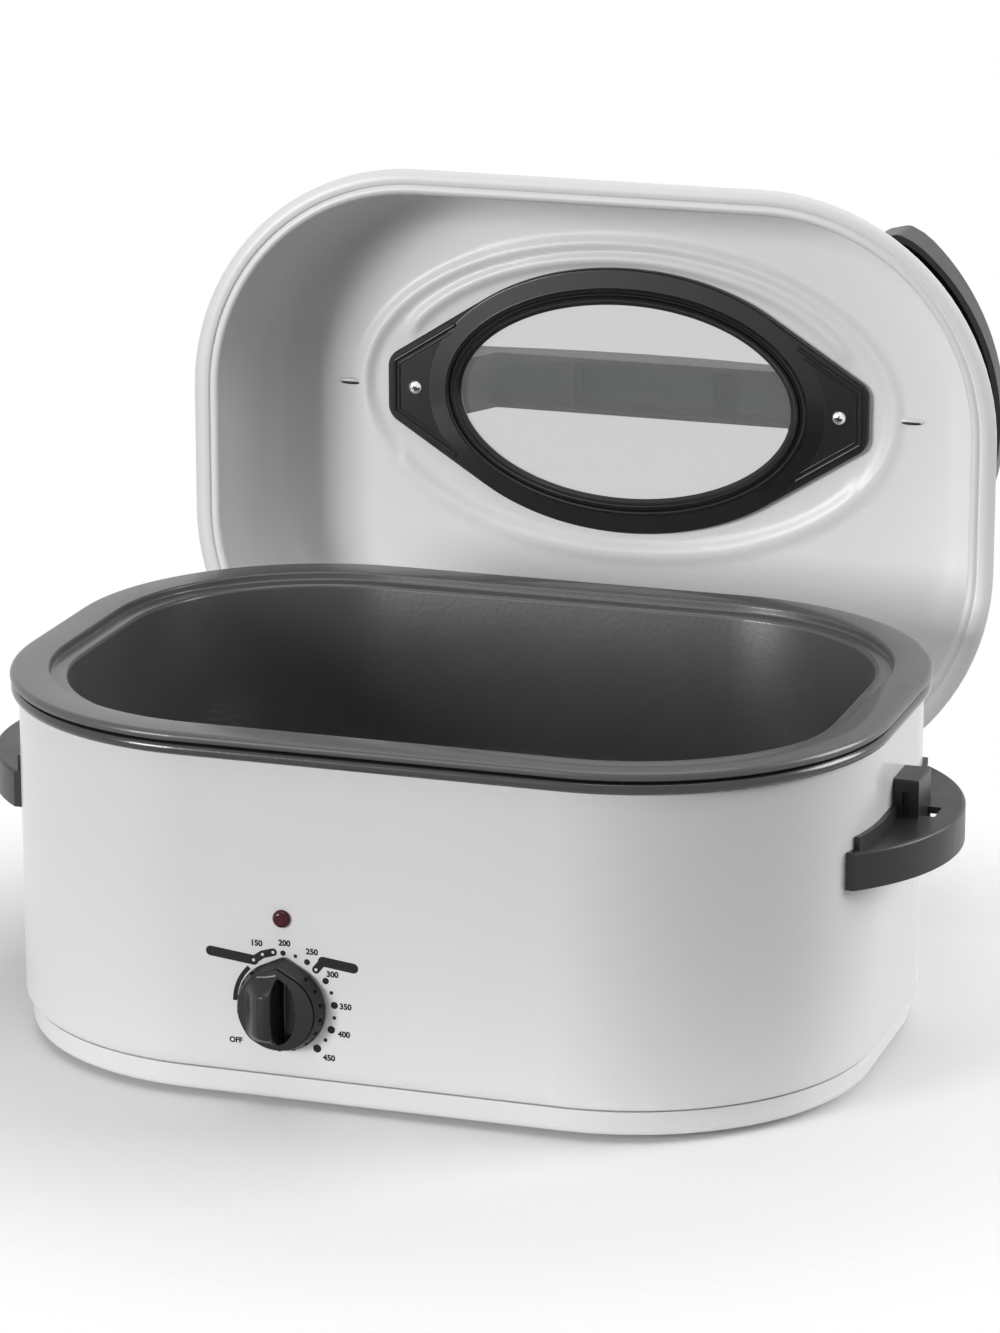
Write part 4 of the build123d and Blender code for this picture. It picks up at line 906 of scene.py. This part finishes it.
for side in (-1, 1):
    tab = bmesh.new()
    tab.faces.new([tab.verts.new((side * x, y - window_shift, roof_height)) for x, y in tab_outline])
    tips = [v for v in tab.verts if abs(v.co.x) > band_half_width]
    bmesh.ops.bevel(
        tab,
        geom=tips,
        offset=tip_round,
        segments=5,
        profile=0.5,
        affect="VERTICES",
        clamp_overlap=True,
        material=-1,
    )
    made = bmesh.ops.extrude_face_region(tab, geom=tab.faces[:])["geom"]
    top = [g for g in made if isinstance(g, bmesh.types.BMFace)][0]
    bmesh.ops.translate(tab, verts=top.verts, vec=(0, 0, tab_face + tab_edge - roof_height))
    bmesh.ops.inset_region(tab, faces=[top], thickness=tab_edge, depth=0, use_even_offset=True)
    bmesh.ops.translate(tab, verts=top.verts, vec=(0, 0, -tab_edge))
    for inset, run, radius in ridges:
        near = (tip_x - inset, tip_y - inset * (1 - lean.x) / lean.y)
        far = (near[0] - run, near[1] + run * lean.x / lean.y)
        line = (far, near, (near[0], -near[1]), (far[0], -far[1]))
        line = [Vector((side * x, y - window_shift, tab_face)) for x, y in line]
        for place in line:
            bmesh.ops.create_uvsphere(
                tab, u_segments=16, v_segments=8, radius=radius, matrix=Matrix.Translation(place)
            )
        for first, second in zip(line, line[1:]):
            way = second - first
            bar = Matrix.Translation((first + second) / 2) @ way.to_track_quat("Z", "X").to_matrix().to_4x4()
            bmesh.ops.create_cone(
                tab, cap_ends=False, segments=16, radius1=radius, radius2=radius, depth=way.length, matrix=bar
            )
    bmesh.ops.recalc_face_normals(tab, faces=tab.faces)
    bmesh.ops.transform(tab, matrix=lid_place, verts=tab.verts)
    part = bpy.data.meshes.new("tab")
    tab.to_mesh(part)
    tab.free()
    bm.from_mesh(part)
    bpy.data.meshes.remove(part)
window_frame = grown("window_frame_moulded", bm, "lid", polished_black, smooth=40)
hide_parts("window_frame")

# ---------------------------------------------------------------- window screws
# Two chromed steel screws with low domed heads and a cross recess.  Each goes through a tab and the roof
# into the handle outside.
bright_chrome = Finish("bright_chrome", (0.82, 0.82, 0.83), 0.14, Metallic=1)
bright_chrome.set(Roughness=0.1 + 0.14 * bright_chrome.mottle(400))
bright_chrome.relief(bright_chrome.mottle(900), 0.00002)
screw_head = 0.0046
screw_rise = 0.0022
screw_x = 0.139
screw_turn = radians(20)
crown = bow(0, 0, 1, 0, 90, 8)
bm = bmesh.new()
for side in (-1, 1):
    verts = [bm.verts.new((screw_head * out, 0, -screw_rise * up)) for out, up in crown]
    rim = [bm.edges.new(pair) for pair in zip(verts, verts[1:])]
    bmesh.ops.spin(
        bm, geom=rim + verts, cent=(0, 0, 0), axis=(0, 0, 1), angle=2 * pi, steps=32, use_merge=True
    )
    fresh = [v for v in bm.verts if not v.tag]
    bmesh.ops.remove_doubles(bm, verts=fresh, dist=1e-6)
    fresh = [v for v in bm.verts if not v.tag]
    place = Matrix.Translation((side * screw_x, -window_shift, tab_face))
    bmesh.ops.transform(bm, matrix=lid_place @ place, verts=fresh)
    for v in bm.verts:
        v.tag = True
screws = grown("window_screws_domed", faced_out(bm), "lid", bright_chrome, smooth=60)
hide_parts("lid_handle_screws")
# Each head's cross recess is drawn as two dark crossed bars on the dome: painted shade for the recess's
# hollow.
painted_recess_shade = Finish("painted_recess_shade", (0.03, 0.03, 0.03), 0.5, Metallic=0.6)
painted_recess_shade.relief(painted_recess_shade.mottle(800), 0.00003)
recess_rise = 0.00178
recess_size = Matrix.Diagonal((0.0036, 0.0008, 0.0011, 1))
recess_edge = 0.00012
bm = bmesh.new()
for side in (-1, 1):
    for turn in (side * screw_turn, side * screw_turn + pi / 2):
        place = Matrix.Translation((side * screw_x, -window_shift, tab_face - recess_rise))
        place = lid_place @ place @ Matrix.Rotation(turn, 4, "Z") @ recess_size
        bar = bmesh.ops.create_cube(bm, size=1, matrix=place)["verts"]
        edges = list({e for v in bar for e in v.link_edges})
        bmesh.ops.bevel(
            bm,
            geom=edges,
            offset=recess_edge,
            segments=1,
            profile=0.5,
            affect="EDGES",
            clamp_overlap=True,
            material=-1,
        )
grown("window_screw_recess_shade", bm, "lid", painted_recess_shade)

# ---------------------------------------------------------------- lid vents
# Two small slots pressed through the roof, each under a raised lip, that let the steam out beside the
# window.  Each lip and each slot is drawn as a flattened ball; the slot's ball is dark, painted shade for the
# opening.
vent_x = 0.184
lip_size = (0.0085, 0.0023, 0.0016)
slot_size = (0.0064, 0.0011, 0.0006)
slot_down, slot_inward = 0.0010, 0.0012


def vent_ovals(size, down, inward, segments):
    """A flattened ball at each vent, this far down from the vent's middle and inward from the roof."""
    bm = bmesh.new()
    for side in (-1, 1):
        place = lid_place @ Matrix.Translation((side * vent_x, down - window_shift, roof_height - inward))
        place = place @ Matrix.Diagonal((*size, 1))
        bmesh.ops.create_uvsphere(bm, u_segments=segments, v_segments=segments // 2, radius=1, matrix=place)
    return bm


lips = vent_ovals(lip_size, 0, 0, 28)
grown("lid_vent_lips", lips, "lid", white_enamel, smooth=60)
# The slots' dark balls are painted shade in the openings under the lips.
slots = vent_ovals(slot_size, slot_down, slot_inward, 20)
grown("lid_vent_slot_shade", slots, "lid", painted_recess_shade, smooth=60)

# ---------------------------------------------------------------- lid handle
# One hollow moulding in black phenolic: an arched grip on two broad feet, ribbed underneath.  Its ends
# fan out, each swelling from a hub on the window's middle line.
grip_round = 0.0022
grip = eased("lid_handle", grip_round, black_plastic, segments=3)
hub_x = 0.100
swell_from, swell_run = 0.135, 0.045
swell = 0.10
to_lid = lid_place.inverted()
for v in grip.data.vertices:
    at = to_lid @ v.co
    hub = Vector((hub_x if at.x > 0 else -hub_x, -window_shift, at.z))
    at = hub + (at - hub) * (1 + swell * ease((abs(at.x) - swell_from) / swell_run))
    v.co = lid_place @ at
